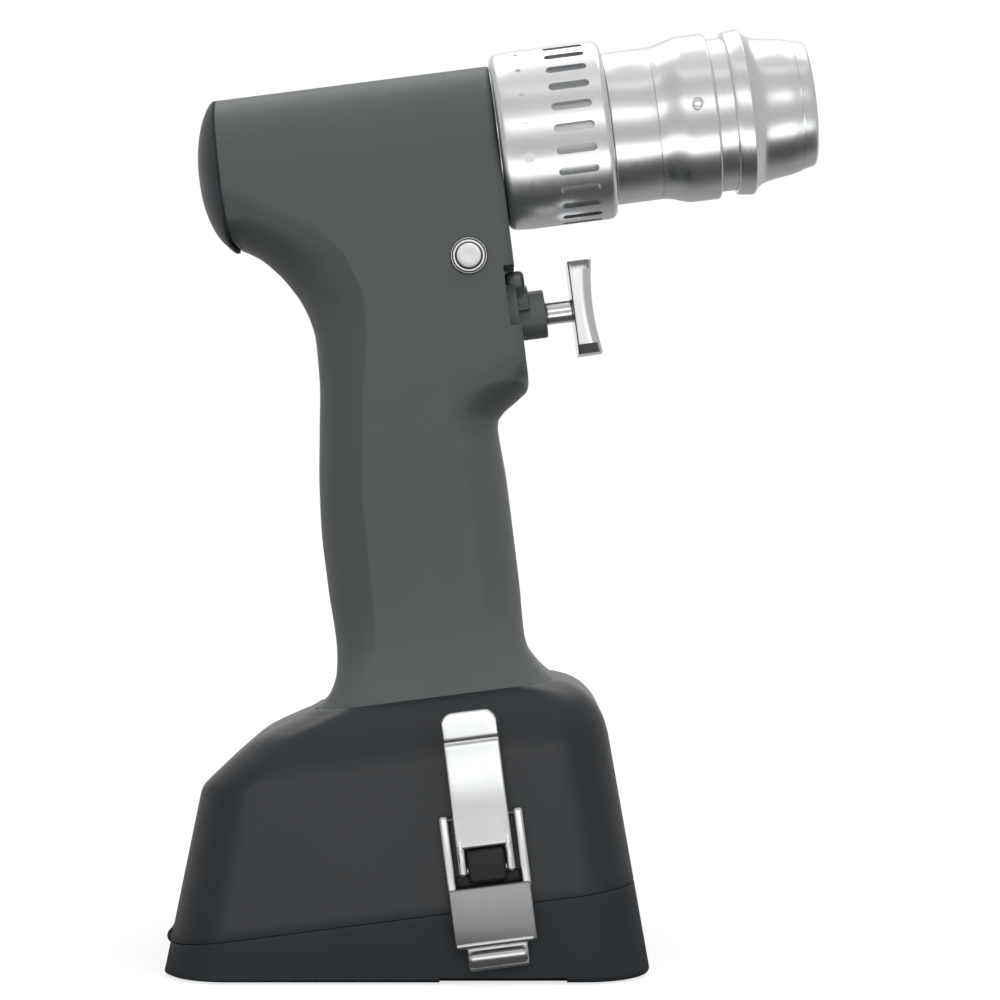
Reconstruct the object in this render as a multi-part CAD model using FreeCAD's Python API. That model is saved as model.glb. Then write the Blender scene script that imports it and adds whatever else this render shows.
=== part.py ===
"""Cordless surgical power drill that stands on its battery base.

Every piece is modelled in the drill frame: x runs forward along the barrel's axis, z points up
square to it, and the origin is on the axis at the collar's rear. place() tilts a finished piece
into the standing frame, whose origin is the centre of the base's underside. Levels named _V are
distances below the barrel's axis, so that z = -V.
"""
import FreeCAD, Part
import math
import os

os.makedirs("parts", exist_ok=True)
Vec = FreeCAD.Vector

# Standing frame
TILT = 7.3
AXIS_X = 23.1
AXIS_Z = 192.4

# Clearances
RUN = 0.05
SEAT = 0.02
SLIDE = 0.1
GAP = 0.3

# How far a cutting shape passes its face, reaches across the drill, and reaches past the whole drill
PAST = 1.0
ACROSS = 40.0
BEYOND = 150.0

# Barrel
BARREL_R = 18.25
BARREL_REAR = -66.6
BARREL_FRONT = -2.0
BARREL_BOTTOM_V = 17.2
BARREL_CORNER_R = 11.0
BARREL_BORE_R = 15.4
SHELL = 2.6
SEAL_T = 0.5
CAP_SPIGOT = 4.0
# The cap's dome: (depth behind its seam, how far its section is drawn in there)
CAP_DOME = [(0.0, 0.0), (1.6, 1.3), (3.3, 3.6), (4.7, 7.0), (5.5, 10.2), (5.9, 13.5)]
CAP_LEAST_CORNER = 0.5

# Grip: (level V, rear x), (level V, front x), (level V, half width)
GRIP_TOP_V = 6.0
LEDGE_V = 58.2
GRIP_BOTTOM_V = 126.5
GRIP_FLOOR_V = 121.0
CAVITY_TOP_V = 20.0
GRIP_REAR = [(6.0, -66.0), (17.2, -65.6), (20.2, -61.4), (23.0, -58.6), (25.6, -56.3), (28.3, -54.5),
             (30.8, -53.2), (35.8, -51.4), (40.7, -50.6), (50.0, -50.9), (62.0, -52.4), (76.0, -54.2),
             (97.5, -55.3), (112.0, -54.7), (119.0, -55.2), (122.4, -56.5), (126.5, -60.9)]
GRIP_FRONT = [(58.2, -2.0), (60.9, -5.2), (63.9, -9.2), (67.4, -10.5), (80.0, -10.0), (103.0, -10.1),
              (115.5, -10.5), (121.3, -9.1), (126.5, -5.2)]
GRIP_HALF = [(6.0, 18.25), (58.2, 18.2), (80.0, 17.3), (105.0, 17.0), (115.0, 17.4), (120.0, 18.8),
             (123.5, 20.8), (126.5, 23.0)]
# The grip's round back: (level V, how far its arcs reach forward), and how far in they start
GRIP_BACK = [(6.0, 12.0), (21.0, 15.8), (30.7, 15.5), (40.0, 13.5), (56.0, 11.4), (126.5, 11.0)]
GRIP_BACK_IN = 15.8
FACE_R = 2.5
GRIP_FRONT_R = 9.0
LEAST_CORNER = 0.8

# Motor
SHAFT_R = 2.4
ROTOR_R = 7.8
ROTOR_CORE_R = 6.0
ROTOR_REAR = -56.0
ROTOR_FRONT = -28.0
AIR_GAP = 0.4
STATOR_REAR = -58.0
STATOR_FRONT = -26.0
SLOT_COUNT = 6
SLOT_W = 4.0
SLOT_R = 12.8
END_TURN = 3.2
BULKHEAD_REAR = -20.5
BULKHEAD_FRONT = -17.6
BEARING_W = 4.0
BEARING_R = 5.5
BEARING_WALL = 1.5
BEARING_GROOVE = 1.0
BEARING_GROOVE_DEPTH = 0.3
BEARING_SET_IN = 0.2
WINDING_IN = 0.6
WINDING_STEP = 0.2
MAGNET_GAP = 1.0

# Planetary gears
MODULE = 0.5
SUN_TEETH = 12
PLANET_TEETH = 18
RING_TEETH = 48
PLANET_COUNT = 3
PRESSURE_ANGLE = 25.0
ADDENDUM = 0.4
DEDENDUM = 0.55
BACKLASH = 0.05
FLANK_STEPS = 6
RING_REAR = -16.5
RING_FRONT = -6.5
PLANET_REAR = -15.5
PLANET_FRONT = -7.5
PINION_REAR = -17.0
PINION_FRONT = -7.0
PIN_R = 1.25
PIN_PROUD = 0.4
CARRIER_R = 11.0
CARRIER_REAR = -6.2
CARRIER_FRONT = -3.2
CARRIER_BORE_R = 4.0

# Nose mount, chuck and nose
MOUNT_R = 14.0
MOUNT_FLANGE_R = 17.5
MOUNT_FLANGE_FRONT = 1.0
MOUNT_SPIGOT_REAR = -6.4
MOUNT_SPIGOT_BORE_R = 12.0
MOUNT_FRONT = 52.0
MOUNT_BORE_R = 8.5
OUT_BEARING_R = 9.5
OUT_BEARING_W = 6.0
OUT_BEARING_FRONT = 46.0
SEAL_REAR = 48.2
SEAL_FRONT = 51.0
COLLAR_R = 21.0
COLLAR_REAR = -1.8
COLLAR_FRONT = 24.2
COLLAR_EDGE = 1.8
SLOTS = 26
SLOT_START = 10.2
SLOT_REAR = 10.9
SLOT_FRONT = 20.3
SLOT_WIDTH = 1.9
SLOT_DEPTH = 1.8
DIMPLE_R = 0.9
DIMPLE_X = 4.5
DIMPLE_DEPTH = 0.5
DIMPLE_ANGLES = (28.5, 48.5, 69.0, 89.0)
SLEEVE_R = 17.9
SLEEVE_SEAM = 35.2
SEAM_GAP = 0.1
BULGE_R = 19.5
BULGE_REAR = 42.7
BULGE_FRONT = 49.1
NECK_R = 18.0
NECK_FRONT = 53.6
GROOVE = 0.3
GROOVE_W = 0.2
BULGE_EDGE = 0.6
PIN_X = 45.8
PIN_ANGLE = 8.8
DETENT_R = 1.35
DETENT_FLOOR = 0.6
DETENT_PROUD = 0.3
RING_X = 53.0
NOSE_FRONT = 72.3
# The nose sleeve's outside as (x, radius): its ring, its concave cone and its tip
NOSE_RING = [(53.0, 18.8), (53.6, 19.3), (57.1, 19.5)]
NOSE_CONE = [(57.9, 18.3), (59.2, 17.35), (61.0, 16.8), (64.0, 16.3), (68.7, 15.4)]
NOSE_TIP = [(71.0, 14.75), (NOSE_FRONT, 13.6)]
RECESS_END = 57.2
SPRING_POCKET_R = 14.6
SPRING_POCKET_END = 61.0
LOCK_REAR = 63.2
LOCK_FRONT = 66.0
TIP_BORE_R = 7.4
HEAD_R = 6.2
HEAD_REAR = 51.5
HEAD_EDGE = 0.5
SPINDLE_R = 5.0
SPINDLE_FRONT = 71.8
TOOL_BORE_R = 3.2
TOOL_BORE_REAR = 36.0
BALL_COUNT = 3
BALL_R = 1.45
BALL_X = 64.5
BALL_AT_R = 4.7
NOSE_SPRING_R = 12.8
NOSE_WIRE_R = 0.6
NOSE_TURNS = 4
COIL_STEPS = 14
WIRE_SIDES = 8

# Trigger and mode lever
TRIGGER_V = 41.4
STEM_R = 2.75
STEM_REAR = -18.0
TRIGGER_BACK = 10.5
TRIGGER_T = 5.8
TRIGGER_TOP_V = 30.4
TRIGGER_LOW_V = 52.3
TRIGGER_HALF = 8.5
TRIGGER_HOLLOW = 1.1
BUSHING_R = 5.7
BUSHING_FRONT = 4.15
BUSHING_SEAT_R = 4.5
BOSS_REAR = -7.5
STOP_R = 4.0
STOP_T = 1.0
MAGNET_R = 2.0
MAGNET_T = 2.0
TRIGGER_SPRING_R = 3.6
TRIGGER_WIRE_R = 0.4
TRIGGER_TURNS = 9
BLOCK_FRONT = -26.3
BLOCK_REAR = -28.0
BLOCK_TALL = 18.0
BOARD_T = 1.6
SENSOR_SIDE = 6.0
SENSOR_T = 1.2
TRIGGER_EDGE_R = 2.0
RECESS_DEPTH = 2.6
RECESS_TOP_V = 30.4
RECESS_LOW_V = 44.3
BOSS_WALL = 3.0
LEVER_RING_R = 8.2
LEVER_T = 2.3
TAB_FRONT = 0.1
TAB_HALF = 3.0
TAB_R = 10.3
TAB_EDGE = 0.8
SADDLE_R = 7.4
SADDLE_FRONT = 0.6
SADDLE_LOW = 1.0

# Direction button
BUTTON_X = -12.1
BUTTON_V = 25.5
BUTTON_R = 2.8
BUTTON_PROUD = 1.9
BEZEL_R = 4.25
BEZEL_PROUD = 0.5
BUTTON_EDGE_R = 0.5

# Control board
CONTROL_X = -38.0
CONTROL_TOP_V = 62.0
CONTROL_LOW_V = 112.0
CHIP_ROWS = 3
CHIP_PITCH = 10.0
CHIP_Y = 7.0
CHIP_SIDE = 6.0
CHIP_T = 1.5
CAN_R = 4.0
CAN_L = 9.0

# Base: (level V, rear x, front x, half width, corner radius)
BASE_LEVELS = [(126.5, -61.5, -4.5, 23.5, 10.0), (128.3, -66.6, -0.5, 25.3, 11.0),
               (130.8, -74.6, 2.3, 27.3, 12.0), (133.8, -79.3, 4.4, 29.0, 13.0),
               (136.8, -83.7, 5.2, 30.4, 13.5), (140.2, -88.3, 5.7, 31.5, 14.0)]
BASE_REAR_X = -55.0
BASE_FRONT_X = 56.0
BASE_HALF = 36.0
BASE_CORNER_R = 15.5
BASE_WALL = 2.5
BASE_TOP_T = 3.2
SEAM_V = 174.0
SEAM_OPEN = 0.3
LID_FLOOR = 2.5
GASKET_IN = 0.6
GASKET_W = 1.6
RELIEF = (8.2, 36.7, 1.2)

# Grip screws
SCREW_R = 1.5
SCREW_HEAD_R = 2.75
SCREW_HEAD_T = 2.0
SOCKET_R = 1.3
SOCKET_FLOOR = 0.8
SCREW_TIP_V = 121.6
SCREW_X = (-48.0, -18.0)
SCREW_Y = 14.0
CABLE_R = 6.0
CABLE_X = -33.0

# Hinge of the lid, in the standing frame
HINGE_X = -53.4
HINGE_Z = 7.0
HINGE_PIN_R = 0.9
KNUCKLE_R = 1.9
KNUCKLE_HALF = 14.5
KNUCKLE_MID = 7.0
KNUCKLE_GAP = 0.2

# Battery
BATTERY_REAR = -80.5
BATTERY_FRONT = -2.5
BATTERY_HALF = 28.3
BATTERY_TOP_V = 140.0
BATTERY_LOW_V = 178.2
BATTERY_WALL = 1.1
BATTERY_CORNER_R = 8.0
CELL_R = 8.9
CELL_L = 65.0
CELL_PITCH = 18.0
TERMINAL_R = 3.0
TERMINAL_T = 1.5
RIB_Y = 18.0
RIB_T = 2.0
RIB_IN = 6.0
BLOCK_X = -50.0
BLOCK_L = 18.0
BLOCK_HALF = 10.5
BLADE_T = 0.8
BLADE_W = 6.0
BLADE_PITCH = 5.0
BLADE_COUNT = 4

# Latch, in a frame with its origin on the wall at the lever's pivot
LATCH_X = -25.4
LATCH_V = 165.2
LEVER_HALF = 6.3
LEVER_TOP = 35.4
LEVER_LOW = -1.4
LEVER_BACK = 2.6
LEVER_THICK = 1.5
LIP_H = 6.7
LIP_OUT = 2.2
PIVOT_OUT = 2.2
PIVOT_R = 1.0
FORK_HALF = 4.5
FORK_TOP = 5.3
LUG_HALF = 4.3
LUG_LOW = -3.0
LUG_TOP = 4.8
BAIL_UP = 11.7
BAIL_HALF = 9.55
BAIL_WIRE = 2.2
BAIL_PIN_R = 0.9
PLATE_TOP = -3.7
PLATE_LOW = -16.9
PLATE_HALF = 9.35
PLATE_T = 1.3
HOOK_IN = 0.65
HOOK_T = 1.4
KEEPER_TOP = -11.6
KEEPER_LOW = -22.3
KEEPER_HALF = 6.9
KEEPER_OUT = 2.6
KEEPER_SLOT = 0.65
LUG_OVER = 1.6
SUNK = 1.5
EAR_WALL = 0.7
EAR_T = 1.9
EAR_UP = 2.2
WIRE_WALL = 0.4
ROLL_H = 3.0


def box(x0, x1, y0, y1, z0, z1):
    return Part.makeBox(x1 - x0, y1 - y0, z1 - z0, Vec(x0, y0, z0))


def rod_x(r, x0, x1, y=0.0, z=0.0):
    return Part.makeCylinder(r, x1 - x0, Vec(x0, y, z), Vec(1, 0, 0))


def rod_y(r, y0, y1, x=0.0, z=0.0):
    return Part.makeCylinder(r, y1 - y0, Vec(x, y0, z), Vec(0, 1, 0))


def rod_down(r, v0, v1, x=0.0, y=0.0):
    return Part.makeCylinder(r, v1 - v0, Vec(x, y, -v0), Vec(0, 0, -1))


def tube_x(r_out, r_in, x0, x1, z=0.0):
    return rod_x(r_out, x0, x1, 0.0, z).cut(rod_x(r_in, x0 - PAST, x1 + PAST, 0.0, z))


def turned(points):
    """A solid of revolution about the barrel's axis from (x, radius) points."""
    wire = Part.makePolygon([Vec(x, 0, r) for x, r in points + points[:1]])
    return Part.Face(wire).revolve(Vec(0, 0, 0), Vec(1, 0, 0), 360)


def fused(shapes):
    whole = shapes[0].multiFuse(shapes[1:]) if len(shapes) > 1 else shapes[0]
    return whole.removeSplitter()


def placement():
    return FreeCAD.Placement(Vec(AXIS_X, 0, AXIS_Z), FreeCAD.Rotation(Vec(0, 1, 0), -TILT))


def place(shape):
    return shape.transformed(placement().toMatrix(), True)


def from_standing(shape):
    """Bring a shape that was made in the standing frame into the drill frame."""
    return shape.transformed(placement().inverse().toMatrix(), True)


def save(name, shape):
    """Write one piece, as one solid or as a group of separate solids."""
    solids = shape.Solids
    whole = place(solids[0] if len(solids) == 1 else Part.makeCompound(solids))
    whole.exportStep("parts/" + name + ".step")
    print(name, len(solids), whole.isValid(), round(whole.Volume, 1))


def between(points, v):
    """The value at level v on a line through (level, value) points."""
    for (v0, a), (v1, b) in zip(points, points[1:]):
        if v <= v1:
            return a + (b - a) * (v - v0) / (v1 - v0)
    return points[-1][1]


def rounded_wire(x0, x1, half, reach, rear_in, r_front, z):
    """A level wire: a rectangle with round front corners, and an arc at each rear corner.

    The rear arcs leave the rear face square, reach forward along the sides by reach, and start
    rear_in from them, so that they meet the sides at an edge where rear_in is the longer.
    """
    k = 1 - math.sqrt(0.5)
    r = (reach * reach + rear_in * rear_in) / (2 * reach)
    middle = math.asin(min(1.0, rear_in / r)) / 2
    dx = r * (1 - math.cos(middle))
    dy = rear_in - r * math.sin(middle)
    p = [(x0 + reach, -half), (x1 - r_front, -half), (x1 - k * r_front, -half + k * r_front),
         (x1, -half + r_front), (x1, half - r_front), (x1 - k * r_front, half - k * r_front),
         (x1 - r_front, half), (x0 + reach, half), (x0 + dx, half - dy),
         (x0, half - rear_in), (x0, -half + rear_in), (x0 + dx, -half + dy)]
    q = [Vec(x, y, z) for x, y in p]
    edges = [Part.makeLine(q[0], q[1]), Part.Arc(q[1], q[2], q[3]).toShape(),
             Part.makeLine(q[3], q[4]), Part.Arc(q[4], q[5], q[6]).toShape(),
             Part.makeLine(q[6], q[7]), Part.Arc(q[7], q[8], q[9]).toShape(),
             Part.makeLine(q[9], q[10]), Part.Arc(q[10], q[11], q[0]).toShape()]
    return Part.Wire(edges)


def spring_x(radius, wire_r, turns, x0, x1):
    """A coil spring along the axis: short straight lengths of eight-sided wire between x0 and x1."""
    rise = (x1 - x0 - 2 * wire_r) / (2 * math.pi * turns)
    rings = []
    for i in range(COIL_STEPS * turns + 1):
        a = 2 * math.pi * i / COIL_STEPS
        at = Vec(x0 + wire_r + rise * a, radius * math.cos(a), radius * math.sin(a))
        way = Vec(rise, -radius * math.sin(a), radius * math.cos(a)).normalize()
        outward = Vec(0, math.cos(a), math.sin(a))
        across = way.cross(outward)
        ring = []
        for k in range(WIRE_SIDES + 1):
            b = 2 * math.pi * k / WIRE_SIDES
            ring.append(at + outward * (wire_r * math.cos(b)) + across * (wire_r * math.sin(b)))
        rings.append(Part.makePolygon(ring))
    return Part.makeLoft(rings, True, True)


def grip_wire(v, inset):
    rear = between(GRIP_REAR, v) + inset
    front = (BARREL_FRONT if v <= LEDGE_V else between(GRIP_FRONT, v)) - inset
    half = between(GRIP_HALF, v) - inset
    share = min(1.0, max(0.0, (v - LEDGE_V) / (GRIP_FRONT[3][0] - LEDGE_V)))
    r_front = FACE_R + (GRIP_FRONT_R - FACE_R) * share
    reach = between(GRIP_BACK, v) - inset
    corner = max(r_front - inset, LEAST_CORNER)
    return rounded_wire(rear, front, half, reach, GRIP_BACK_IN - inset, corner, -v)


def grip_loft(v0, v1, inset):
    rows = GRIP_REAR + GRIP_FRONT + GRIP_HALF + GRIP_BACK
    levels = sorted({v for v, _ in rows if v0 < v < v1} | {v0, v1})
    return Part.makeLoft([grip_wire(v, inset) for v in levels], True, True)


def barrel_wire(x, inset):
    """The barrel's section at x, drawn in by inset: a round top, flat sides and rounded lower corners."""
    r = BARREL_R - inset
    c = max(BARREL_CORNER_R - inset, CAP_LEAST_CORNER)
    low = -BARREL_BOTTOM_V + inset
    k = c * (1 - math.sqrt(0.5))
    q = [Vec(x, y, z) for y, z in
         [(-r, 0), (0, r), (r, 0), (r, low + c), (r - k, low + k), (r - c, low),
          (-r + c, low), (-r + k, low + k), (-r, low + c)]]
    edges = [Part.Arc(q[0], q[1], q[2]).toShape(), Part.makeLine(q[2], q[3]),
             Part.Arc(q[3], q[4], q[5]).toShape(), Part.makeLine(q[5], q[6]),
             Part.Arc(q[6], q[7], q[8]).toShape(), Part.makeLine(q[8], q[0])]
    return Part.Wire(edges)


def handpiece_housing():
    barrel = Part.Face(barrel_wire(BARREL_REAR, 0)).extrude(Vec(BARREL_FRONT - BARREL_REAR, 0, 0))
    body = fused([barrel, grip_loft(GRIP_TOP_V, LEDGE_V, 0), grip_loft(LEDGE_V, GRIP_BOTTOM_V, 0)])
    hollow = fused([rod_x(BARREL_BORE_R, BARREL_REAR - PAST, BARREL_FRONT + PAST),
                    grip_loft(CAVITY_TOP_V, LEDGE_V, SHELL), grip_loft(LEDGE_V, GRIP_FLOOR_V, SHELL),
                    rod_down(CABLE_R, BARREL_BORE_R - SHELL, CAVITY_TOP_V + SHELL, CABLE_X),
                    rod_down(CABLE_R, GRIP_FLOOR_V - PAST, GRIP_BOTTOM_V + PAST, CABLE_X)])
    body = body.cut(hollow)
    boss_half = BARREL_R - SHELL / 2
    ring_low_v = TRIGGER_V + LEVER_RING_R + RUN
    boss = box(BOSS_REAR, BARREL_FRONT - SHELL / 2, -boss_half, boss_half,
               -ring_low_v - BOSS_WALL, -RECESS_TOP_V + BOSS_WALL)
    body = fused([body, boss])
    floor_x = BARREL_FRONT - RECESS_DEPTH
    channel = box(floor_x, BARREL_FRONT + PAST, -ACROSS, ACROSS, -RECESS_LOW_V, -RECESS_TOP_V)
    ring_seat = rod_x(LEVER_RING_R + RUN, floor_x, BARREL_FRONT + PAST, 0, -TRIGGER_V)
    body = body.cut(fused([channel, ring_seat]))
    body = body.cut(rod_x(BUSHING_SEAT_R + SEAT, BOSS_REAR - PAST, BARREL_FRONT + PAST, 0, -TRIGGER_V))
    body = body.cut(rod_y(BEZEL_R + SEAT, -ACROSS, ACROSS, BUTTON_X, -BUTTON_V))
    for x in SCREW_X:
        for y in (-SCREW_Y, SCREW_Y):
            body = body.cut(rod_down(SCREW_R + SEAT, SCREW_TIP_V - GAP, GRIP_BOTTOM_V + PAST, x, y))
    return body


def rear_cap():
    """A dome on the barrel's section, with a spigot and a boss for the rear bearing."""
    face_x = BARREL_REAR - SEAL_T
    dome = Part.makeLoft([barrel_wire(face_x - depth, inset) for depth, inset in CAP_DOME], True, True)
    spigot = tube_x(BARREL_BORE_R - SEAT, BARREL_BORE_R - SHELL, face_x, face_x + SEAL_T + CAP_SPIGOT)
    boss = tube_x(BEARING_R + BEARING_WALL, BEARING_R + SEAT, face_x, face_x + BEARING_W)
    return fused([dome, spigot, boss])


def rear_cap_seal():
    skin = Part.Face(barrel_wire(BARREL_REAR - SEAL_T, 0)).extrude(Vec(SEAL_T, 0, 0))
    return skin.cut(rod_x(BARREL_BORE_R, BARREL_REAR - SEAL_T - PAST, BARREL_REAR + PAST))


def motor_stator():
    ring = tube_x(BARREL_BORE_R - SEAT, ROTOR_R + AIR_GAP, STATOR_REAR, STATOR_FRONT)
    for i in range(SLOT_COUNT):
        cut = box(STATOR_REAR - PAST, STATOR_FRONT + PAST, -SLOT_W / 2, SLOT_W / 2, 0, SLOT_R)
        cut.rotate(Vec(0, 0, 0), Vec(1, 0, 0), 360.0 / SLOT_COUNT * i)
        ring = ring.cut(cut)
    return ring


def motor_windings():
    """A bar in each slot, joined by an end turn at each side of the core."""
    half = SLOT_W / 2 - SLIDE
    inner = ROTOR_R + AIR_GAP + WINDING_IN
    pieces = [tube_x(SLOT_R - SLIDE, inner, STATOR_REAR - END_TURN, STATOR_REAR - SLIDE),
              tube_x(SLOT_R - SLIDE, inner, STATOR_FRONT + SLIDE, STATOR_FRONT + END_TURN)]
    for i in range(SLOT_COUNT):
        bar = box(STATOR_REAR - PAST, STATOR_FRONT + PAST, -half, half,
                  inner + WINDING_STEP, SLOT_R - 2 * SLIDE)
        bar.rotate(Vec(0, 0, 0), Vec(1, 0, 0), 360.0 / SLOT_COUNT * i)
        pieces.append(bar)
    return fused(pieces)


def motor_bulkhead():
    return tube_x(BARREL_BORE_R - SEAT, BEARING_R + SEAT, BULKHEAD_REAR, BULKHEAD_FRONT)


def bearing(x0, width, r_in, r_out):
    """A shielded ball bearing with a groove on each side between its rings."""
    ring = tube_x(r_out, r_in + RUN, x0, x0 + width)
    middle = (r_in + r_out) / 2
    half = BEARING_GROOVE / 2
    for x in (x0, x0 + width - BEARING_GROOVE_DEPTH):
        ring = ring.cut(tube_x(middle + half, middle - half, x, x + BEARING_GROOVE_DEPTH))
    return ring


def rotor_bearings():
    rear = bearing(BARREL_REAR - SEAL_T + BEARING_SET_IN, BEARING_W, SHAFT_R, BEARING_R)
    front = bearing(BULKHEAD_FRONT - BEARING_W, BEARING_W, SHAFT_R, BEARING_R)
    return Part.makeCompound([rear, front])


def involute(r, base_r):
    if r <= base_r:
        return 0.0
    a = math.acos(base_r / r)
    return math.tan(a) - a


def gear_outline(teeth, grow, r_low, r_high):
    """A closed outline of involute teeth between two radii, thickened by grow at the pitch circle."""
    pitch_r = MODULE * teeth / 2
    base_r = pitch_r * math.cos(math.radians(PRESSURE_ANGLE))
    start = math.pi / (2 * teeth) + grow / (2 * pitch_r) + involute(pitch_r, base_r)
    foot = max(r_low, base_r)
    radii = [r_low] + [foot + (r_high - foot) * i / FLANK_STEPS
                       for i in range(FLANK_STEPS + 1)]
    flank = [(r, start - involute(r, base_r)) for r in sorted(set(radii))]
    points = []
    for i in range(teeth):
        centre = 2 * math.pi * i / teeth
        points += [(r, centre - half) for r, half in flank]
        points += [(r, centre + half) for r, half in reversed(flank)]
    return [Vec(0, r * math.cos(a), r * math.sin(a)) for r, a in points]


def gear_face(points, x):
    wire = Part.makePolygon(points + points[:1])
    wire.translate(Vec(x, 0, 0))
    return Part.Face(wire)


def external_gear(teeth, x0, x1):
    pitch_r = MODULE * teeth / 2
    points = gear_outline(teeth, -BACKLASH, pitch_r - DEDENDUM, pitch_r + ADDENDUM)
    return gear_face(points, x0).extrude(Vec(x1 - x0, 0, 0))


def ring_gear():
    """Teeth point inwards, with one tooth centred on +y as on the other gears."""
    pitch_r = MODULE * RING_TEETH / 2
    points = gear_outline(RING_TEETH, BACKLASH, pitch_r - ADDENDUM, pitch_r + DEDENDUM)
    space = gear_face(points, RING_REAR - PAST).extrude(Vec(RING_FRONT - RING_REAR + 2 * PAST, 0, 0))
    space.rotate(Vec(0, 0, 0), Vec(1, 0, 0), 180.0 / RING_TEETH)
    return rod_x(BARREL_BORE_R - SEAT, RING_REAR, RING_FRONT).cut(space)


def rotor_shaft():
    shaft = rod_x(SHAFT_R, BARREL_REAR, PINION_REAR)
    return fused([shaft, external_gear(SUN_TEETH, PINION_REAR, PINION_FRONT)])


def rotor_core():
    return tube_x(ROTOR_CORE_R, SHAFT_R + SEAT, ROTOR_REAR, ROTOR_FRONT)


def rotor_magnets():
    """Four curved magnets with a gap between neighbours."""
    ring = tube_x(ROTOR_R, ROTOR_CORE_R + SEAT, ROTOR_REAR, ROTOR_FRONT)
    for angle in (0, 90):
        gap = box(ROTOR_REAR - PAST, ROTOR_FRONT + PAST, -ROTOR_R - PAST, ROTOR_R + PAST,
                  -MAGNET_GAP / 2, MAGNET_GAP / 2)
        gap.rotate(Vec(0, 0, 0), Vec(1, 0, 0), angle)
        ring = ring.cut(gap)
    return ring


def planet_centre(i):
    """Planets stand at 90, 210 and 330 degrees, measured from +y towards +z."""
    angle = math.radians(90 + 360.0 / PLANET_COUNT * i)
    r = MODULE * (SUN_TEETH + PLANET_TEETH) / 2
    return r * math.cos(angle), r * math.sin(angle), math.degrees(angle)


def planet_gear(i):
    """A planet with a tooth space towards the sun and towards the ring."""
    y, z, angle = planet_centre(i)
    gear = external_gear(PLANET_TEETH, PLANET_REAR, PLANET_FRONT)
    gear = gear.cut(rod_x(PIN_R + RUN, PLANET_REAR - PAST, PLANET_FRONT + PAST))
    gear.rotate(Vec(0, 0, 0), Vec(1, 0, 0), angle + 180.0 / PLANET_TEETH)
    gear.translate(Vec(0, y, z))
    return gear


def planet_pins():
    pins = []
    for i in range(PLANET_COUNT):
        y, z, _ = planet_centre(i)
        pins.append(rod_x(PIN_R, PLANET_REAR - PIN_PROUD, CARRIER_FRONT, y, z))
    return Part.makeCompound(pins)


def planet_carrier():
    plate = tube_x(CARRIER_R, CARRIER_BORE_R + SEAT, CARRIER_REAR, CARRIER_FRONT)
    for i in range(PLANET_COUNT):
        y, z, _ = planet_centre(i)
        plate = plate.cut(rod_x(PIN_R + SEAT, CARRIER_REAR - PAST, CARRIER_FRONT + PAST, y, z))
    return plate


def nose_mount():
    """A flanged tube, screwed into the barrel, that carries the chuck and the output bearings."""
    x = BARREL_FRONT
    seat_end = x + OUT_BEARING_W
    front_seat = OUT_BEARING_FRONT - OUT_BEARING_W
    bore = OUT_BEARING_R + SEAT
    return turned([(MOUNT_SPIGOT_REAR, BARREL_BORE_R - SEAT), (x, BARREL_BORE_R - SEAT),
                   (x, MOUNT_FLANGE_R), (MOUNT_FLANGE_FRONT, MOUNT_FLANGE_R),
                   (MOUNT_FLANGE_FRONT, MOUNT_R), (MOUNT_FRONT, MOUNT_R), (MOUNT_FRONT, bore),
                   (front_seat, bore), (front_seat, MOUNT_BORE_R), (seat_end, MOUNT_BORE_R),
                   (seat_end, bore), (x, bore), (x, MOUNT_SPIGOT_BORE_R),
                   (MOUNT_SPIGOT_REAR, MOUNT_SPIGOT_BORE_R)])


def output_bearings():
    rear = bearing(BARREL_FRONT, OUT_BEARING_W, SPINDLE_R, OUT_BEARING_R)
    front = bearing(OUT_BEARING_FRONT - OUT_BEARING_W, OUT_BEARING_W, SPINDLE_R, OUT_BEARING_R)
    return Part.makeCompound([rear, front])


def shaft_seal():
    return tube_x(OUT_BEARING_R, SPINDLE_R + RUN, SEAL_REAR, SEAL_FRONT)


def release_collar():
    """A ring of slots, with dimples that mark its settings."""
    e = COLLAR_EDGE
    bore = MOUNT_R + RUN
    clear = MOUNT_FLANGE_R + 2 * SLIDE
    step = MOUNT_FLANGE_FRONT + GAP
    k = e * (1 - math.sqrt(0.5))
    ring = turned([(COLLAR_REAR, COLLAR_R - e), (COLLAR_REAR + k, COLLAR_R - k),
                   (COLLAR_REAR + e, COLLAR_R), (COLLAR_FRONT - e, COLLAR_R),
                   (COLLAR_FRONT - k, COLLAR_R - k), (COLLAR_FRONT, COLLAR_R - e),
                   (COLLAR_FRONT, bore), (step, bore), (step, clear), (COLLAR_REAR, clear)])
    half = SLOT_WIDTH / 2
    x0 = SLOT_REAR + half
    x1 = SLOT_FRONT - half
    floor_r = COLLAR_R - SLOT_DEPTH
    slot = fused([box(x0, x1, -half, half, floor_r, COLLAR_R + PAST),
                  Part.makeCylinder(half, SLOT_DEPTH + PAST, Vec(x0, 0, floor_r)),
                  Part.makeCylinder(half, SLOT_DEPTH + PAST, Vec(x1, 0, floor_r))])
    cuts = []
    for i in range(SLOTS):
        cut = slot.copy()
        cut.rotate(Vec(0, 0, 0), Vec(1, 0, 0), SLOT_START + 360.0 / SLOTS * i)
        cuts.append(cut)
    for angle in DIMPLE_ANGLES:
        dimple = Part.makeCylinder(DIMPLE_R, DIMPLE_DEPTH + PAST, Vec(DIMPLE_X, 0, COLLAR_R - DIMPLE_DEPTH))
        dimple.rotate(Vec(0, 0, 0), Vec(1, 0, 0), angle)
        cuts.append(dimple)
    return ring.cut(Part.makeCompound(cuts))


def chuck_sleeve_rear():
    front = SLEEVE_SEAM - SEAM_GAP / 2
    return tube_x(SLEEVE_R, MOUNT_R + SEAT, COLLAR_FRONT + 2 * SLIDE, front)


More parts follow.
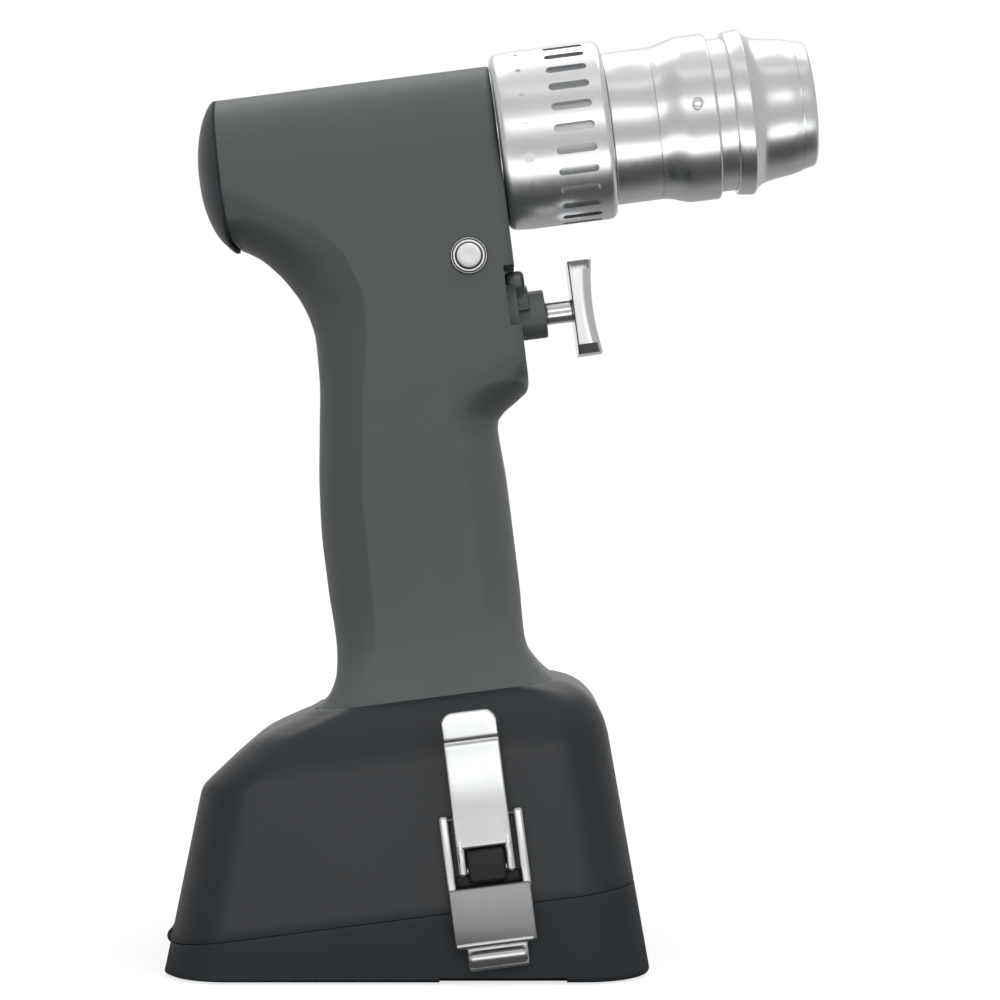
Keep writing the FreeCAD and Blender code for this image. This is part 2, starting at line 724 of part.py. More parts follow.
def pin_along(r, r0, r1):
    """A round pin that stands out of the near side of the chuck."""
    a = math.radians(PIN_ANGLE)
    way = Vec(0, -math.cos(a), math.sin(a))
    return Part.makeCylinder(r, r1 - r0, Vec(PIN_X, 0, 0) + way * r0, way)


def chuck_sleeve_front():
    """A sleeve that swells into a bulge, then a groove and the neck."""
    x0 = SLEEVE_SEAM + SEAM_GAP / 2
    swell = Part.BSplineCurve()
    mid = (SLEEVE_SEAM + BULGE_REAR) / 2
    swell.interpolate([Vec(x0, 0, SLEEVE_R), Vec(mid, 0, (SLEEVE_R + BULGE_R) / 2 - SLIDE),
                       Vec(BULGE_REAR, 0, BULGE_R)])
    bore = MOUNT_R + SEAT
    neck_rear = BULGE_FRONT + GROOVE_W
    tail = [(BULGE_REAR, BULGE_R), (BULGE_FRONT - BULGE_EDGE, BULGE_R),
            (BULGE_FRONT, BULGE_R - BULGE_EDGE), (BULGE_FRONT, NECK_R - GROOVE),
            (neck_rear, NECK_R - GROOVE), (neck_rear, NECK_R), (NECK_FRONT, NECK_R),
            (NECK_FRONT, bore), (x0, bore), (x0, SLEEVE_R)]
    wire = Part.Wire([swell.toShape(), Part.makePolygon([Vec(x, 0, r) for x, r in tail])])
    sleeve = Part.Face(wire).revolve(Vec(0, 0, 0), Vec(1, 0, 0), 360)
    return sleeve.cut(pin_along(DETENT_R + SEAT, MOUNT_R + DETENT_FLOOR - SLIDE, BULGE_R + PAST))


def detent_pin():
    return pin_along(DETENT_R, MOUNT_R + DETENT_FLOOR, BULGE_R + DETENT_PROUD)


def nose_sleeve():
    """The ring and concave cone that is drawn back over the neck, with the land that holds the balls."""
    cone = Part.BSplineCurve()
    cone.interpolate([Vec(x, 0, r) for x, r in NOSE_CONE])
    bore = [(NOSE_FRONT, TIP_BORE_R), (LOCK_FRONT, TIP_BORE_R), (LOCK_FRONT, HEAD_R + SLIDE),
            (LOCK_REAR, HEAD_R + SLIDE), (LOCK_REAR, HEAD_R + 2 * GAP),
            (SPRING_POCKET_END, HEAD_R + 2 * GAP), (SPRING_POCKET_END, SPRING_POCKET_R),
            (RECESS_END, SPRING_POCKET_R), (RECESS_END, NECK_R + RUN), (RING_X, NECK_R + RUN)]
    rest = NOSE_CONE[-1:] + NOSE_TIP + bore + NOSE_RING + NOSE_CONE[:1]
    outer = Part.makePolygon([Vec(x, 0, r) for x, r in rest])
    return Part.Face(Part.Wire([cone.toShape(), outer])).revolve(Vec(0, 0, 0), Vec(1, 0, 0), 360)


def nose_spring():
    return spring_x(NOSE_SPRING_R, NOSE_WIRE_R, NOSE_TURNS, MOUNT_FRONT + SLIDE, SPRING_POCKET_END - SLIDE)


def ball_ways():
    """The directions in which the lock balls stand round the tool bore, the first one upwards."""
    angles = [math.radians(90 + 360.0 / BALL_COUNT * i) for i in range(BALL_COUNT)]
    return [Vec(0, math.cos(a), math.sin(a)) for a in angles]


def spindle():
    body = turned([(CARRIER_REAR, 0), (CARRIER_REAR, CARRIER_BORE_R), (CARRIER_FRONT, CARRIER_BORE_R),
                   (CARRIER_FRONT, SPINDLE_R), (HEAD_REAR, SPINDLE_R), (HEAD_REAR, HEAD_R),
                   (SPINDLE_FRONT - HEAD_EDGE, HEAD_R), (SPINDLE_FRONT, HEAD_R - HEAD_EDGE),
                   (SPINDLE_FRONT, TOOL_BORE_R), (TOOL_BORE_REAR, TOOL_BORE_R), (TOOL_BORE_REAR, 0)])
    for way in ball_ways():
        body = body.cut(Part.makeCylinder(BALL_R + SLIDE, HEAD_R + PAST, Vec(BALL_X, 0, 0), way))
    return body


def lock_balls():
    middle = Vec(BALL_X, 0, 0)
    return Part.makeCompound([Part.makeSphere(BALL_R, middle + way * BALL_AT_R) for way in ball_ways()])


def trigger():
    """A plate with a hollow front and round corners, on a round stem with a stop."""
    z = -TRIGGER_V
    front = TRIGGER_BACK + TRIGGER_T
    plate = box(TRIGGER_BACK, front, -TRIGGER_HALF, TRIGGER_HALF, -TRIGGER_LOW_V, -TRIGGER_TOP_V)
    span = TRIGGER_LOW_V - TRIGGER_TOP_V
    hollow_r = span * span / (8 * TRIGGER_HOLLOW)
    plate = plate.cut(rod_y(hollow_r, -ACROSS, ACROSS, front + hollow_r - TRIGGER_HOLLOW,
                            -(TRIGGER_LOW_V + TRIGGER_TOP_V) / 2))
    corners = [e for e in plate.Edges if e.BoundBox.XLength > TRIGGER_T / 2 and e.BoundBox.ZLength < RUN]
    plate = plate.makeFillet(TRIGGER_EDGE_R, corners)
    stem = rod_x(STEM_R, STEM_REAR, TRIGGER_BACK + PAST, 0, z)
    stop = rod_x(STOP_R, BOSS_REAR - STOP_T - SLIDE, BOSS_REAR - SLIDE, 0, z)
    return fused([plate, stem, stop])


def trigger_bushing():
    back = BARREL_FRONT - RECESS_DEPTH
    outer = fused([rod_x(BUSHING_R, back, BUSHING_FRONT, 0, -TRIGGER_V),
                   rod_x(BUSHING_SEAT_R, BOSS_REAR, back, 0, -TRIGGER_V)])
    return outer.cut(rod_x(STEM_R + RUN, BOSS_REAR - PAST, BUSHING_FRONT + PAST, 0, -TRIGGER_V))


def trigger_magnet():
    return rod_x(MAGNET_R, STEM_REAR - MAGNET_T, STEM_REAR, 0, -TRIGGER_V)


def trigger_spring():
    coil = spring_x(TRIGGER_SPRING_R, TRIGGER_WIRE_R, TRIGGER_TURNS,
                    BLOCK_FRONT + SLIDE, BOSS_REAR - STOP_T - 2 * SLIDE)
    return coil.translated(Vec(0, 0, -TRIGGER_V))


def mode_lever():
    """A ring round the bushing, with a tab at its top and a saddle over the bushing's upper half."""
    x0 = BARREL_FRONT - RECESS_DEPTH + SLIDE
    z = -TRIGGER_V
    ring = rod_x(LEVER_RING_R, x0, x0 + LEVER_T, 0, z)
    tab = fused([rod_x(TAB_R, x0, TAB_FRONT - TAB_EDGE, 0, z), rod_x(TAB_R - TAB_EDGE, x0, TAB_FRONT, 0, z)])
    tab = tab.common(box(x0, TAB_FRONT, -TAB_HALF, TAB_HALF, z, z + TAB_R))
    saddle = rod_x(SADDLE_R, x0, SADDLE_FRONT, 0, z)
    saddle = saddle.common(box(x0, SADDLE_FRONT, -SADDLE_R, SADDLE_R, z + SADDLE_LOW, z + SADDLE_R))
    lever = fused([ring, tab, saddle])
    return lever.cut(rod_x(BUSHING_R + RUN, x0 - PAST, SADDLE_FRONT + PAST, 0, z))


def inner_half():
    return BARREL_R - SHELL - SLIDE


def switch_block():
    """The spring's seat, between the side walls."""
    return box(BLOCK_REAR, BLOCK_FRONT, -inner_half(), inner_half(),
               -TRIGGER_V - BLOCK_TALL / 2, -TRIGGER_V + BLOCK_TALL / 2)


def switch_board():
    z = -TRIGGER_V
    back = BLOCK_REAR - BOARD_T
    half = SENSOR_SIDE / 2
    board = box(back, BLOCK_REAR, -inner_half(), inner_half(), z - BLOCK_TALL / 2, z + BLOCK_TALL / 2)
    sensor = box(back - SENSOR_T, back, -half, half, z - half, z + half)
    return fused([board, sensor])


def control_board():
    """A circuit board across the grip, with its switching transistors and capacitors."""
    half = min(w for _, w in GRIP_HALF) - SHELL - SLIDE
    face = CONTROL_X + BOARD_T
    chip = CHIP_SIDE / 2
    parts = [box(CONTROL_X, face, -half, half, -CONTROL_LOW_V, -CONTROL_TOP_V)]
    for row in range(1, CHIP_ROWS + 1):
        for y in (-CHIP_Y, CHIP_Y):
            z = -CONTROL_TOP_V - CHIP_PITCH * row
            parts.append(box(face, face + CHIP_T, y - chip, y + chip, z - chip, z + chip))
    parts.append(rod_x(CAN_R, face, face + CAN_L, 0, -CONTROL_LOW_V + 2 * CAN_R))
    return fused(parts)


def button_bezels():
    rings = []
    for side in (-1, 1):
        y0 = side * (BARREL_R - SHELL)
        y1 = side * (BARREL_R + BEZEL_PROUD)
        rings.append(rod_y(BEZEL_R, min(y0, y1), max(y0, y1), BUTTON_X, -BUTTON_V))
    return Part.makeCompound(rings).cut(rod_y(BUTTON_R + RUN, -ACROSS, ACROSS, BUTTON_X, -BUTTON_V))


def direction_button():
    reach = BARREL_R + BUTTON_PROUD
    rod = rod_y(BUTTON_R, -reach, reach, BUTTON_X, -BUTTON_V)
    return rod.makeFillet(BUTTON_EDGE_R, [e for e in rod.Edges if e.BoundBox.YLength < RUN])


def base_wire(v, inset):
    rows = BASE_LEVELS
    x0 = between([(r[0], r[1]) for r in rows], v) + inset
    x1 = between([(r[0], r[2]) for r in rows], v) - inset
    half = between([(r[0], r[3]) for r in rows], v) - inset
    corner = between([(r[0], r[4]) for r in rows], v) - inset
    return rounded_wire(x0, x1, half, corner, corner, corner, -v)


def bottom_wire(inset):
    corner = BASE_CORNER_R - inset
    return from_standing(rounded_wire(BASE_REAR_X + inset, BASE_FRONT_X - inset, BASE_HALF - inset,
                                      corner, corner, corner, 0))


def base_form(top_v, inset):
    """Sloped shoulders down to the crease, then a flare to the level underside."""
    levels = [top_v] + [r[0] for r in BASE_LEVELS if r[0] > top_v]
    wires = [base_wire(v, inset) for v in levels] + [bottom_wire(inset)]
    return Part.makeLoft(wires, True, True)


def below(v):
    return box(-BEYOND, BEYOND, -BEYOND, BEYOND, -v - BEYOND, -v)


def above(v):
    return box(-BEYOND, BEYOND, -BEYOND, BEYOND, -v, -v + BEYOND)


def wall_slope():
    """How much the half width grows with each level below the crease, at the latch."""
    crease_v = BASE_LEVELS[-1][0]
    t = math.radians(TILT)
    foot_v = (AXIS_Z + LATCH_X * math.sin(t)) / math.cos(t)
    return (BASE_HALF - BASE_LEVELS[-1][3]) / (foot_v - crease_v)


def wall_half(v):
    """Half width of the base at the latch, at a level below the crease."""
    return BASE_LEVELS[-1][3] + (v - BASE_LEVELS[-1][0]) * wall_slope()


def on_wall(shape, side):
    """Set a latch piece, made for the near wall, on the near or the far wall."""
    piece = shape.copy()
    piece.rotate(Vec(0, 0, 0), Vec(1, 0, 0), -math.degrees(math.atan(wall_slope())))
    piece.translate(Vec(LATCH_X, -wall_half(LATCH_V), -LATCH_V))
    return piece if side < 0 else piece.mirror(Vec(0, 0, 0), Vec(0, 1, 0))


def hinge_rod(r, y0, y1):
    return from_standing(rod_y(r, y0, y1, HINGE_X, HINGE_Z))


def hinge_spans(outer):
    """The knuckles' spans along the hinge: two on the housing, one between them on the lid."""
    if outer:
        return [(-KNUCKLE_HALF, -KNUCKLE_MID - KNUCKLE_GAP), (KNUCKLE_MID + KNUCKLE_GAP, KNUCKLE_HALF)]
    return [(-KNUCKLE_MID, KNUCKLE_MID)]


def hinge_notch():
    reach = KNUCKLE_R + GAP
    notch = fused([rod_y(reach, -KNUCKLE_HALF - GAP, KNUCKLE_HALF + GAP, HINGE_X, HINGE_Z),
                   box(HINGE_X - BASE_WALL * 2, HINGE_X, -KNUCKLE_HALF - GAP, KNUCKLE_HALF + GAP,
                       HINGE_Z - reach, HINGE_Z + reach)])
    return from_standing(notch)


def knuckles(outer):
    """Round knuckles, each with a web that reaches its own wall: up for the housing, down for the lid."""
    pieces = []
    for y0, y1 in hinge_spans(outer):
        barrel = rod_y(KNUCKLE_R, y0, y1, HINGE_X, HINGE_Z)
        reach = KNUCKLE_R + BASE_WALL
        z0, z1 = (HINGE_Z, HINGE_Z + reach) if outer else (HINGE_Z - reach, HINGE_Z)
        web = box(HINGE_X, HINGE_X + KNUCKLE_R, y0, y1, z0, z1)
        hole = rod_y(HINGE_PIN_R + (SEAT if outer else RUN), y0 - PAST, y1 + PAST, HINGE_X, HINGE_Z)
        pieces.append(from_standing(fused([barrel, web]).cut(hole)))
    return pieces


def base_housing():
    outer = base_form(BASE_LEVELS[0][0], 0)
    inner = base_form(BASE_LEVELS[0][0] + BASE_TOP_T, BASE_WALL)
    body = outer.cut(inner).common(above(SEAM_V - SEAM_OPEN))
    body = fused([body.cut(hinge_notch())] + knuckles(True))
    head_v = GRIP_BOTTOM_V + BASE_TOP_T
    body = body.cut(rod_down(CABLE_R, GRIP_BOTTOM_V - PAST, head_v + PAST, CABLE_X))
    for x in SCREW_X:
        for y in (-SCREW_Y, SCREW_Y):
            body = body.cut(rod_down(SCREW_R + SLIDE, GRIP_BOTTOM_V - PAST, head_v + PAST, x, y))
    return body


def grip_screws():
    screws = []
    head_v = GRIP_BOTTOM_V + BASE_TOP_T
    for x in SCREW_X:
        for y in (-SCREW_Y, SCREW_Y):
            head = rod_down(SCREW_HEAD_R, head_v, head_v + SCREW_HEAD_T, x, y)
            socket = rod_down(SOCKET_R, head_v + SOCKET_FLOOR, head_v + SCREW_HEAD_T + PAST, x, y)
            screws.append(fused([rod_down(SCREW_R, SCREW_TIP_V, head_v, x, y), head]).cut(socket))
    return Part.makeCompound(screws)


def lid():
    """A tray with a rib under each side of the battery, hinged at its rear."""
    outer = base_form(BASE_LEVELS[-1][0], 0).common(below(SEAM_V + SEAM_OPEN))
    floor = from_standing(box(-BEYOND, BEYOND, -BEYOND, BEYOND, -BEYOND, LID_FLOOR))
    inner = base_form(BASE_LEVELS[-1][0], BASE_WALL).cut(floor)
    ribs = []
    for y in (-RIB_Y, RIB_Y):
        rib = box(BATTERY_REAR + RIB_IN, BATTERY_FRONT - RIB_IN, y - RIB_T / 2, y + RIB_T / 2,
                  -BATTERY_LOW_V - ACROSS, -BATTERY_LOW_V - GAP)
        ribs.append(rib.common(outer))
    body = fused([outer.cut(inner)] + ribs)
    body = fused([body.cut(hinge_notch())] + knuckles(False))
    x0, x1, height = RELIEF
    for side in (-1, 1):
        wall = side * BASE_HALF
        cut = box(x0, x1, wall - BASE_WALL - PAST, wall + BASE_WALL + PAST, -PAST, height)
        body = body.cut(from_standing(cut))
    return body


def lid_gasket():
    band = above(SEAM_V + SEAM_OPEN - SEAT).common(below(SEAM_V - SEAM_OPEN))
    outer = base_form(BASE_LEVELS[-1][0], GASKET_IN)
    inner = base_form(BASE_LEVELS[-1][0], GASKET_IN + GASKET_W)
    return outer.cut(inner).common(band).cut(hinge_notch())


def hinge_pin():
    return hinge_rod(HINGE_PIN_R, -KNUCKLE_HALF, KNUCKLE_HALF)


def battery_block(inset):
    corner = BATTERY_CORNER_R - inset
    wire = rounded_wire(BATTERY_REAR + inset, BATTERY_FRONT - inset, BATTERY_HALF - inset,
                        corner, corner, corner, -BATTERY_TOP_V - inset)
    return Part.Face(wire).extrude(Vec(0, 0, -(BATTERY_LOW_V - BATTERY_TOP_V - 2 * inset)))


def blade_places():
    start = -BLADE_PITCH * (BLADE_COUNT - 1) / 2
    return [start + BLADE_PITCH * i for i in range(BLADE_COUNT)]


def battery_case():
    case = battery_block(0).cut(battery_block(BATTERY_WALL))
    for y in blade_places():
        case = case.cut(box(BLOCK_X - BLADE_W / 2 - GAP, BLOCK_X + BLADE_W / 2 + GAP,
                            y - BLADE_T / 2 - GAP, y + BLADE_T / 2 + GAP,
                            -BATTERY_TOP_V - BATTERY_WALL - PAST, -BATTERY_TOP_V + PAST))
    return case


def battery_cells():
    """Six round cells in two layers of three."""
    x0 = (BATTERY_REAR + BATTERY_FRONT - CELL_L) / 2
    cells = []
    edge = BATTERY_WALL + CELL_R + SLIDE
    for layer in (BATTERY_TOP_V + edge, BATTERY_LOW_V - edge):
        for y in (-CELL_PITCH, 0, CELL_PITCH):
            cell = rod_x(CELL_R, x0, x0 + CELL_L, y, -layer)
            cells.append(fused([cell, rod_x(TERMINAL_R, x0 + CELL_L, x0 + CELL_L + TERMINAL_T, y, -layer)]))
    return Part.makeCompound(cells)


def contact_block():
    top = GRIP_BOTTOM_V + BASE_TOP_T
    return box(BLOCK_X - BLOCK_L / 2, BLOCK_X + BLOCK_L / 2, -BLOCK_HALF, BLOCK_HALF,
               -BATTERY_TOP_V + GAP, -top - SEAT)


def contact_blades():
    """Blades that reach from the block into the battery's slots."""
    low = -BATTERY_TOP_V - BATTERY_WALL + SLIDE
    blades = [box(BLOCK_X - BLADE_W / 2, BLOCK_X + BLADE_W / 2, y - BLADE_T / 2, y + BLADE_T / 2,
                  low, -BATTERY_TOP_V + GAP) for y in blade_places()]
    return Part.makeCompound(blades)


def rod_across(r, x0, x1, up):
    """A rod along the wall, at the pivot's distance from it."""
    return Part.makeCylinder(r, x1 - x0, Vec(x0, -PIVOT_OUT, up), Vec(1, 0, 0))


def latch_lug(side):
    """A block on the wall with a hole for the lever's pin."""
    foot = box(-LUG_HALF, LUG_HALF, -PIVOT_OUT - LUG_OVER, SUNK, LUG_LOW, LUG_TOP)
    lug = foot.cut(rod_across(PIVOT_R + SEAT, -ACROSS, ACROSS, 0))
    return on_wall(lug, side).cut(base_form(BASE_LEVELS[0][0], 0))


def latch_pin(side):
    return on_wall(rod_across(PIVOT_R, -LEVER_HALF, LEVER_HALF, 0), side)


def latch_lever(side):
    """A plate with a finger lip at its top and a fork over the lug at its foot."""
    y1 = -LEVER_BACK
    y0 = y1 - LEVER_THICK
    lip_low = LEVER_TOP - LIP_H
    plate = box(-LEVER_HALF, LEVER_HALF, y0, y1, LEVER_LOW, lip_low)
    corners = [(y1, lip_low), (y1 - LIP_OUT, LEVER_TOP), (y0 - LIP_OUT, LEVER_TOP), (y0, lip_low),
               (y1, lip_low)]
    lip = Part.Face(Part.makePolygon([Vec(-LEVER_HALF, y, z) for y, z in corners]))
    ears = []
    for x0, x1 in ((-LEVER_HALF, -FORK_HALF), (FORK_HALF, LEVER_HALF)):
        ears.append(rod_across(PIVOT_R + EAR_WALL, x0, x1, 0))
        ears.append(box(x0, x1, y0, y1 + EAR_T, 0, EAR_UP))
        ears.append(box(x0, x1, y0, -PIVOT_OUT + BAIL_PIN_R + WIRE_WALL, BAIL_UP - EAR_T, BAIL_UP + EAR_T))
    lever = fused([plate, lip.extrude(Vec(2 * LEVER_HALF, 0, 0))] + ears)
    lever = lever.cut(box(-FORK_HALF, FORK_HALF, -ACROSS, ACROSS, LEVER_LOW - PAST, FORK_TOP))
    lever = lever.cut(rod_across(PIVOT_R + RUN, -ACROSS, ACROSS, 0))
    return on_wall(lever.cut(rod_across(BAIL_PIN_R + RUN, -ACROSS, ACROSS, BAIL_UP)), side)


def latch_bail(side):
    """Two arms on stub pins, joined by a plate whose inturned edge hooks under the keeper."""
    inner = BAIL_HALF - BAIL_WIRE
    wire = BAIL_WIRE / 2
    reach = BAIL_HALF - FORK_HALF - SLIDE
    y0 = -KEEPER_OUT - SLIDE * 2 - PLATE_T
    pieces = [box(-PLATE_HALF, PLATE_HALF, y0, y0 + PLATE_T, PLATE_LOW, PLATE_TOP),
              box(-KEEPER_HALF, KEEPER_HALF, y0, y0 + PLATE_T + HOOK_IN, PLATE_LOW, PLATE_LOW + HOOK_T)]
    for s in (-1, 1):
        x0 = min(s * inner, s * BAIL_HALF)
        x1 = min(s * inner, s * PLATE_HALF)
        stub = x0 if s < 0 else x0 + BAIL_WIRE - reach
        pieces.append(box(x0, x0 + BAIL_WIRE, -PIVOT_OUT - wire, -PIVOT_OUT + wire,
                          PLATE_TOP - PAST, BAIL_UP + wire))
        pieces.append(box(x1, x1 + PLATE_HALF - inner, y0, -PIVOT_OUT + wire,
                          PLATE_TOP - ROLL_H, PLATE_TOP))
        pieces.append(rod_across(BAIL_PIN_R, stub, stub + reach, BAIL_UP))
    return on_wall(fused(pieces), side)


def lid_keeper(side):
    """A block on the lid with a slot that takes the bail's hook."""
    block = box(-KEEPER_HALF, KEEPER_HALF, -KEEPER_OUT, SUNK, KEEPER_LOW, KEEPER_TOP)
    slot = box(-ACROSS, ACROSS, -KEEPER_OUT - PAST, -KEEPER_OUT + HOOK_IN + SLIDE,
               PLATE_LOW - KEEPER_SLOT, PLATE_LOW + HOOK_T + KEEPER_SLOT)
    return on_wall(block.cut(slot), side).cut(base_form(BASE_LEVELS[0][0], 0))


def main():
    save("handpiece_housing", handpiece_housing())
    save("rear_cap", rear_cap())
    save("rear_cap_seal", rear_cap_seal())
    save("motor_stator", motor_stator())
    save("motor_windings", motor_windings())
    save("motor_bulkhead", motor_bulkhead())
    save("rotor_bearings", rotor_bearings())
    save("ring_gear", ring_gear())
    save("rotor_shaft", rotor_shaft())
    save("rotor_core", rotor_core())
    save("rotor_magnets", rotor_magnets())
    for i in range(PLANET_COUNT):
        save("planet_gear_%d" % (i + 1), planet_gear(i))
    save("planet_pins", planet_pins())
    save("planet_carrier", planet_carrier())
    save("nose_mount", nose_mount())
    save("output_bearings", output_bearings())
    save("shaft_seal", shaft_seal())
    save("release_collar", release_collar())
    save("chuck_sleeve_rear", chuck_sleeve_rear())
    save("chuck_sleeve_front", chuck_sleeve_front())
    save("detent_pin", detent_pin())
    save("nose_sleeve", nose_sleeve())
    save("nose_spring", nose_spring())
    save("spindle", spindle())
    save("lock_balls", lock_balls())
    save("trigger", trigger())
    save("trigger_bushing", trigger_bushing())
    save("trigger_magnet", trigger_magnet())
    save("trigger_spring", trigger_spring())
    save("mode_lever", mode_lever())
    save("switch_block", switch_block())
    save("switch_board", switch_board())
    save("control_board", control_board())
    save("button_bezels", button_bezels())
    save("direction_button", direction_button())
    save("base_housing", base_housing())
    save("grip_screws", grip_screws())
    save("lid", lid())
    save("lid_gasket", lid_gasket())
    save("hinge_pin", hinge_pin())
    save("battery_case", battery_case())
    save("battery_cells", battery_cells())
    save("contact_block", contact_block())
    save("contact_blades", contact_blades())
    save("latch_lugs", Part.makeCompound([latch_lug(-1), latch_lug(1)]))
    save("latch_pins", Part.makeCompound([latch_pin(-1), latch_pin(1)]))
    save("lid_keepers", Part.makeCompound([lid_keeper(-1), lid_keeper(1)]))
    for name, side in (("near", -1), ("far", 1)):
        save("latch_lever_" + name, latch_lever(side))
        save("latch_bail_" + name, latch_bail(side))


main()
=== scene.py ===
"""The looks of a cordless surgical drill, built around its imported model.

Shapes are worked out in millimetres. Most of them are in the drill frame, whose x runs forward
along the barrel, z up square to it, and whose origin is on the barrel's axis at the collar's rear.
The rest stand in the frame of the base, whose origin is the centre of the underside. A level, in
names that end in V too, is a distance below the barrel's axis.
"""
from math import atan, cos, pi, radians, sin, sqrt

import bmesh
import bpy
import numpy as np
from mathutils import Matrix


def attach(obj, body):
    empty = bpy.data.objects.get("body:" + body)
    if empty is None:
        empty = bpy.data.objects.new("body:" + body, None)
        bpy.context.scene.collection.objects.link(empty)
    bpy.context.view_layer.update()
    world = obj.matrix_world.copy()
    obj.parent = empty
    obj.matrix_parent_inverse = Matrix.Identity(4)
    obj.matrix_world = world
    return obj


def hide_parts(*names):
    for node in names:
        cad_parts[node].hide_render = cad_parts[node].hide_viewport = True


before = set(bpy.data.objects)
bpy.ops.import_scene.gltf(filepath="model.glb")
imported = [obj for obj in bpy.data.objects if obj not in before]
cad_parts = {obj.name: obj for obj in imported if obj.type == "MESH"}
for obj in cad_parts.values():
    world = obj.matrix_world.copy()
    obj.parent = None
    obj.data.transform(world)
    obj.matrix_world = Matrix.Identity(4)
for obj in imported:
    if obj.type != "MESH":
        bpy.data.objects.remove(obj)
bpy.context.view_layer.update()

MM = 0.001
TILT = radians(7.3)
AXIS_X = 23.1
AXIS_Z = 192.4
SMOOTH_ANGLE = radians(32)

BARREL_R = 18.25
BARREL_REAR = -66.6
BARREL_FRONT = -2.0
BARREL_BOTTOM = 17.2
BARREL_CORNER = 11.0
BARREL_BORE = 15.4
TRIGGER_V = 41.4
BUTTON_X = -12.1
BUTTON_V = 27.2
# Lines of the trigger's stem and of the button, as (y, z) and (x, z) in the drill frame
STEM_LINE = (0, -TRIGGER_V)
BUTTON_LINE = (BUTTON_X, -BUTTON_V)
PIN_X = 44.4
PIN_ANGLE = 1.5
GRIP_BOTTOM = 126.5
SEAM_V = 174.0
SEAM_LINE = 0.12
BASE_REAR = -55.0
BASE_FRONT = 56.0
BASE_HALF = 36.0
BASE_CORNER = 15.5
CREASE_V = 140.2
WALL = 2.5
HINGE_X = -53.4
HINGE_Z = 7.0

# Metres, for the camera and the studio
CAMERA_BACK = 0.6
CAMERA_X = 0.0217
CAMERA_Z = 0.1077
PICTURE_WIDTH = 0.237
FLOOR_HALF = 12.0
# The side that the soft light comes from, and its strength from the far side of that to the middle of it
KEY = (0.18, -0.62, 0.76)
SOFT_LIGHT = [(0.0, 0.08), (0.5, 0.17), (0.78, 0.70), (1.0, 1.75)]
# Share of a direction that is along x up to which reflections find the strips in full, and where they end
STRIP_SIDES = (0.30, 0.58)
STRIP_GREY = 0.5
# Strongest light that a list of stops can hold
STOPS_TOP = 4.0
# Height of a direction, from level at 0 to overhead at 1, and the light that reflections find there,
# in front of the drill and behind it
FRONT_STRIPS = [(0.0, 0.85), (0.10, 0.95), (0.17, 2.0), (0.27, 2.0), (0.34, 0.6), (0.74, 0.5), (0.80, 0.95),
                (0.85, 0.95), (0.90, 0.6), (1.0, 0.7)]
BACK_STRIPS = [(0.0, 0.9), (0.62, 0.7), (0.70, 1.9), (0.95, 1.9), (1.0, 0.7)]
# The same for the floor in reflections: share of the way from half a metre behind to half a metre in
# front, and light; and the distances aside within which it holds and where it ends
# The floor's light in reflections is painted light, and its low stops under the drill are a painted shadow
FLOOR_STRIPS = [(0.0, 0.4), (0.35, 0.32), (0.5, 0.08), (0.615, 0.11), (0.665, 1.9), (0.75, 1.9), (0.83, 0.5),
                (1.0, 0.5)]
FLOOR_MIDDLE = 0.07
FLOOR_SIDES = (0.17, 0.32)
FLOOR_REACH = 0.5
FLOOR_GREY = 0.35
FLOOR_LIFT = 0.76
FLOOR_Z = -0.0004

# Level below the barrel's axis, and the grip's outline there
REAR_LINE = [(0.0, -66.6), (14.0, -66.6), (16.6, -66.0), (17.6, -64.6), (20.2, -61.0), (23.0, -58.4),
             (25.6, -56.3), (28.3, -54.6), (30.8, -53.2), (35.8, -51.4), (40.7, -50.6), (50.0, -50.9),
             (62.0, -52.4), (76.0, -54.2), (90.0, -55.1), (100.0, -55.1), (112.0, -54.7), (119.0, -55.2),
             (122.4, -56.5), (125.0, -58.6), (126.5, -60.9)]
FRONT_LINE = [(0.0, -2.0), (57.2, -2.0), (58.6, -2.3), (60.9, -5.0), (63.6, -8.8), (65.4, -10.2),
              (67.6, -10.5), (80.0, -10.0), (103.0, -10.1), (115.5, -10.5), (119.0, -10.1),
              (121.6, -8.9), (124.2, -7.2), (126.5, -5.2)]
HALF_LINE = [(0.0, 18.25), (50.0, 18.2), (66.0, 17.9), (80.0, 17.3), (105.0, 17.0), (114.0, 17.3),
             (118.5, 18.3), (121.8, 19.9), (124.4, 21.6), (126.5, 23.0)]

# Level, rear, front, half width and corner radius of the base's shoulders
SHOULDER = [(126.5, -61.5, -4.5, 23.5, 10.0), (127.3, -63.2, -2.5, 24.6, 10.6),
            (128.3, -66.6, -0.5, 25.6, 11.0), (130.8, -74.2, 2.3, 27.6, 12.0),
            (133.8, -79.3, 4.2, 29.2, 13.0), (136.8, -83.7, 5.2, 30.5, 13.5), (140.2, -88.3, 5.7, 31.5, 14.0)]


def columns(*values):
    """Values side by side along a new last axis."""
    return np.stack(values, -1)


def drill(points):
    """Drill frame in millimetres to the world in metres: a turn by the tilt, then the axis's place."""
    p = np.asarray(points, float)
    x = AXIS_X + p[..., 0] * cos(TILT) - p[..., 2] * sin(TILT)
    z = AXIS_Z + p[..., 0] * sin(TILT) + p[..., 2] * cos(TILT)
    return columns(x, p[..., 1], z) * MM


def standing(points):
    """Frame of the base in millimetres to the world in metres."""
    return np.asarray(points, float) * MM


def spaced(low, high, count):
    """Even steps from low, without high itself."""
    return np.linspace(low, high, count, endpoint=False)


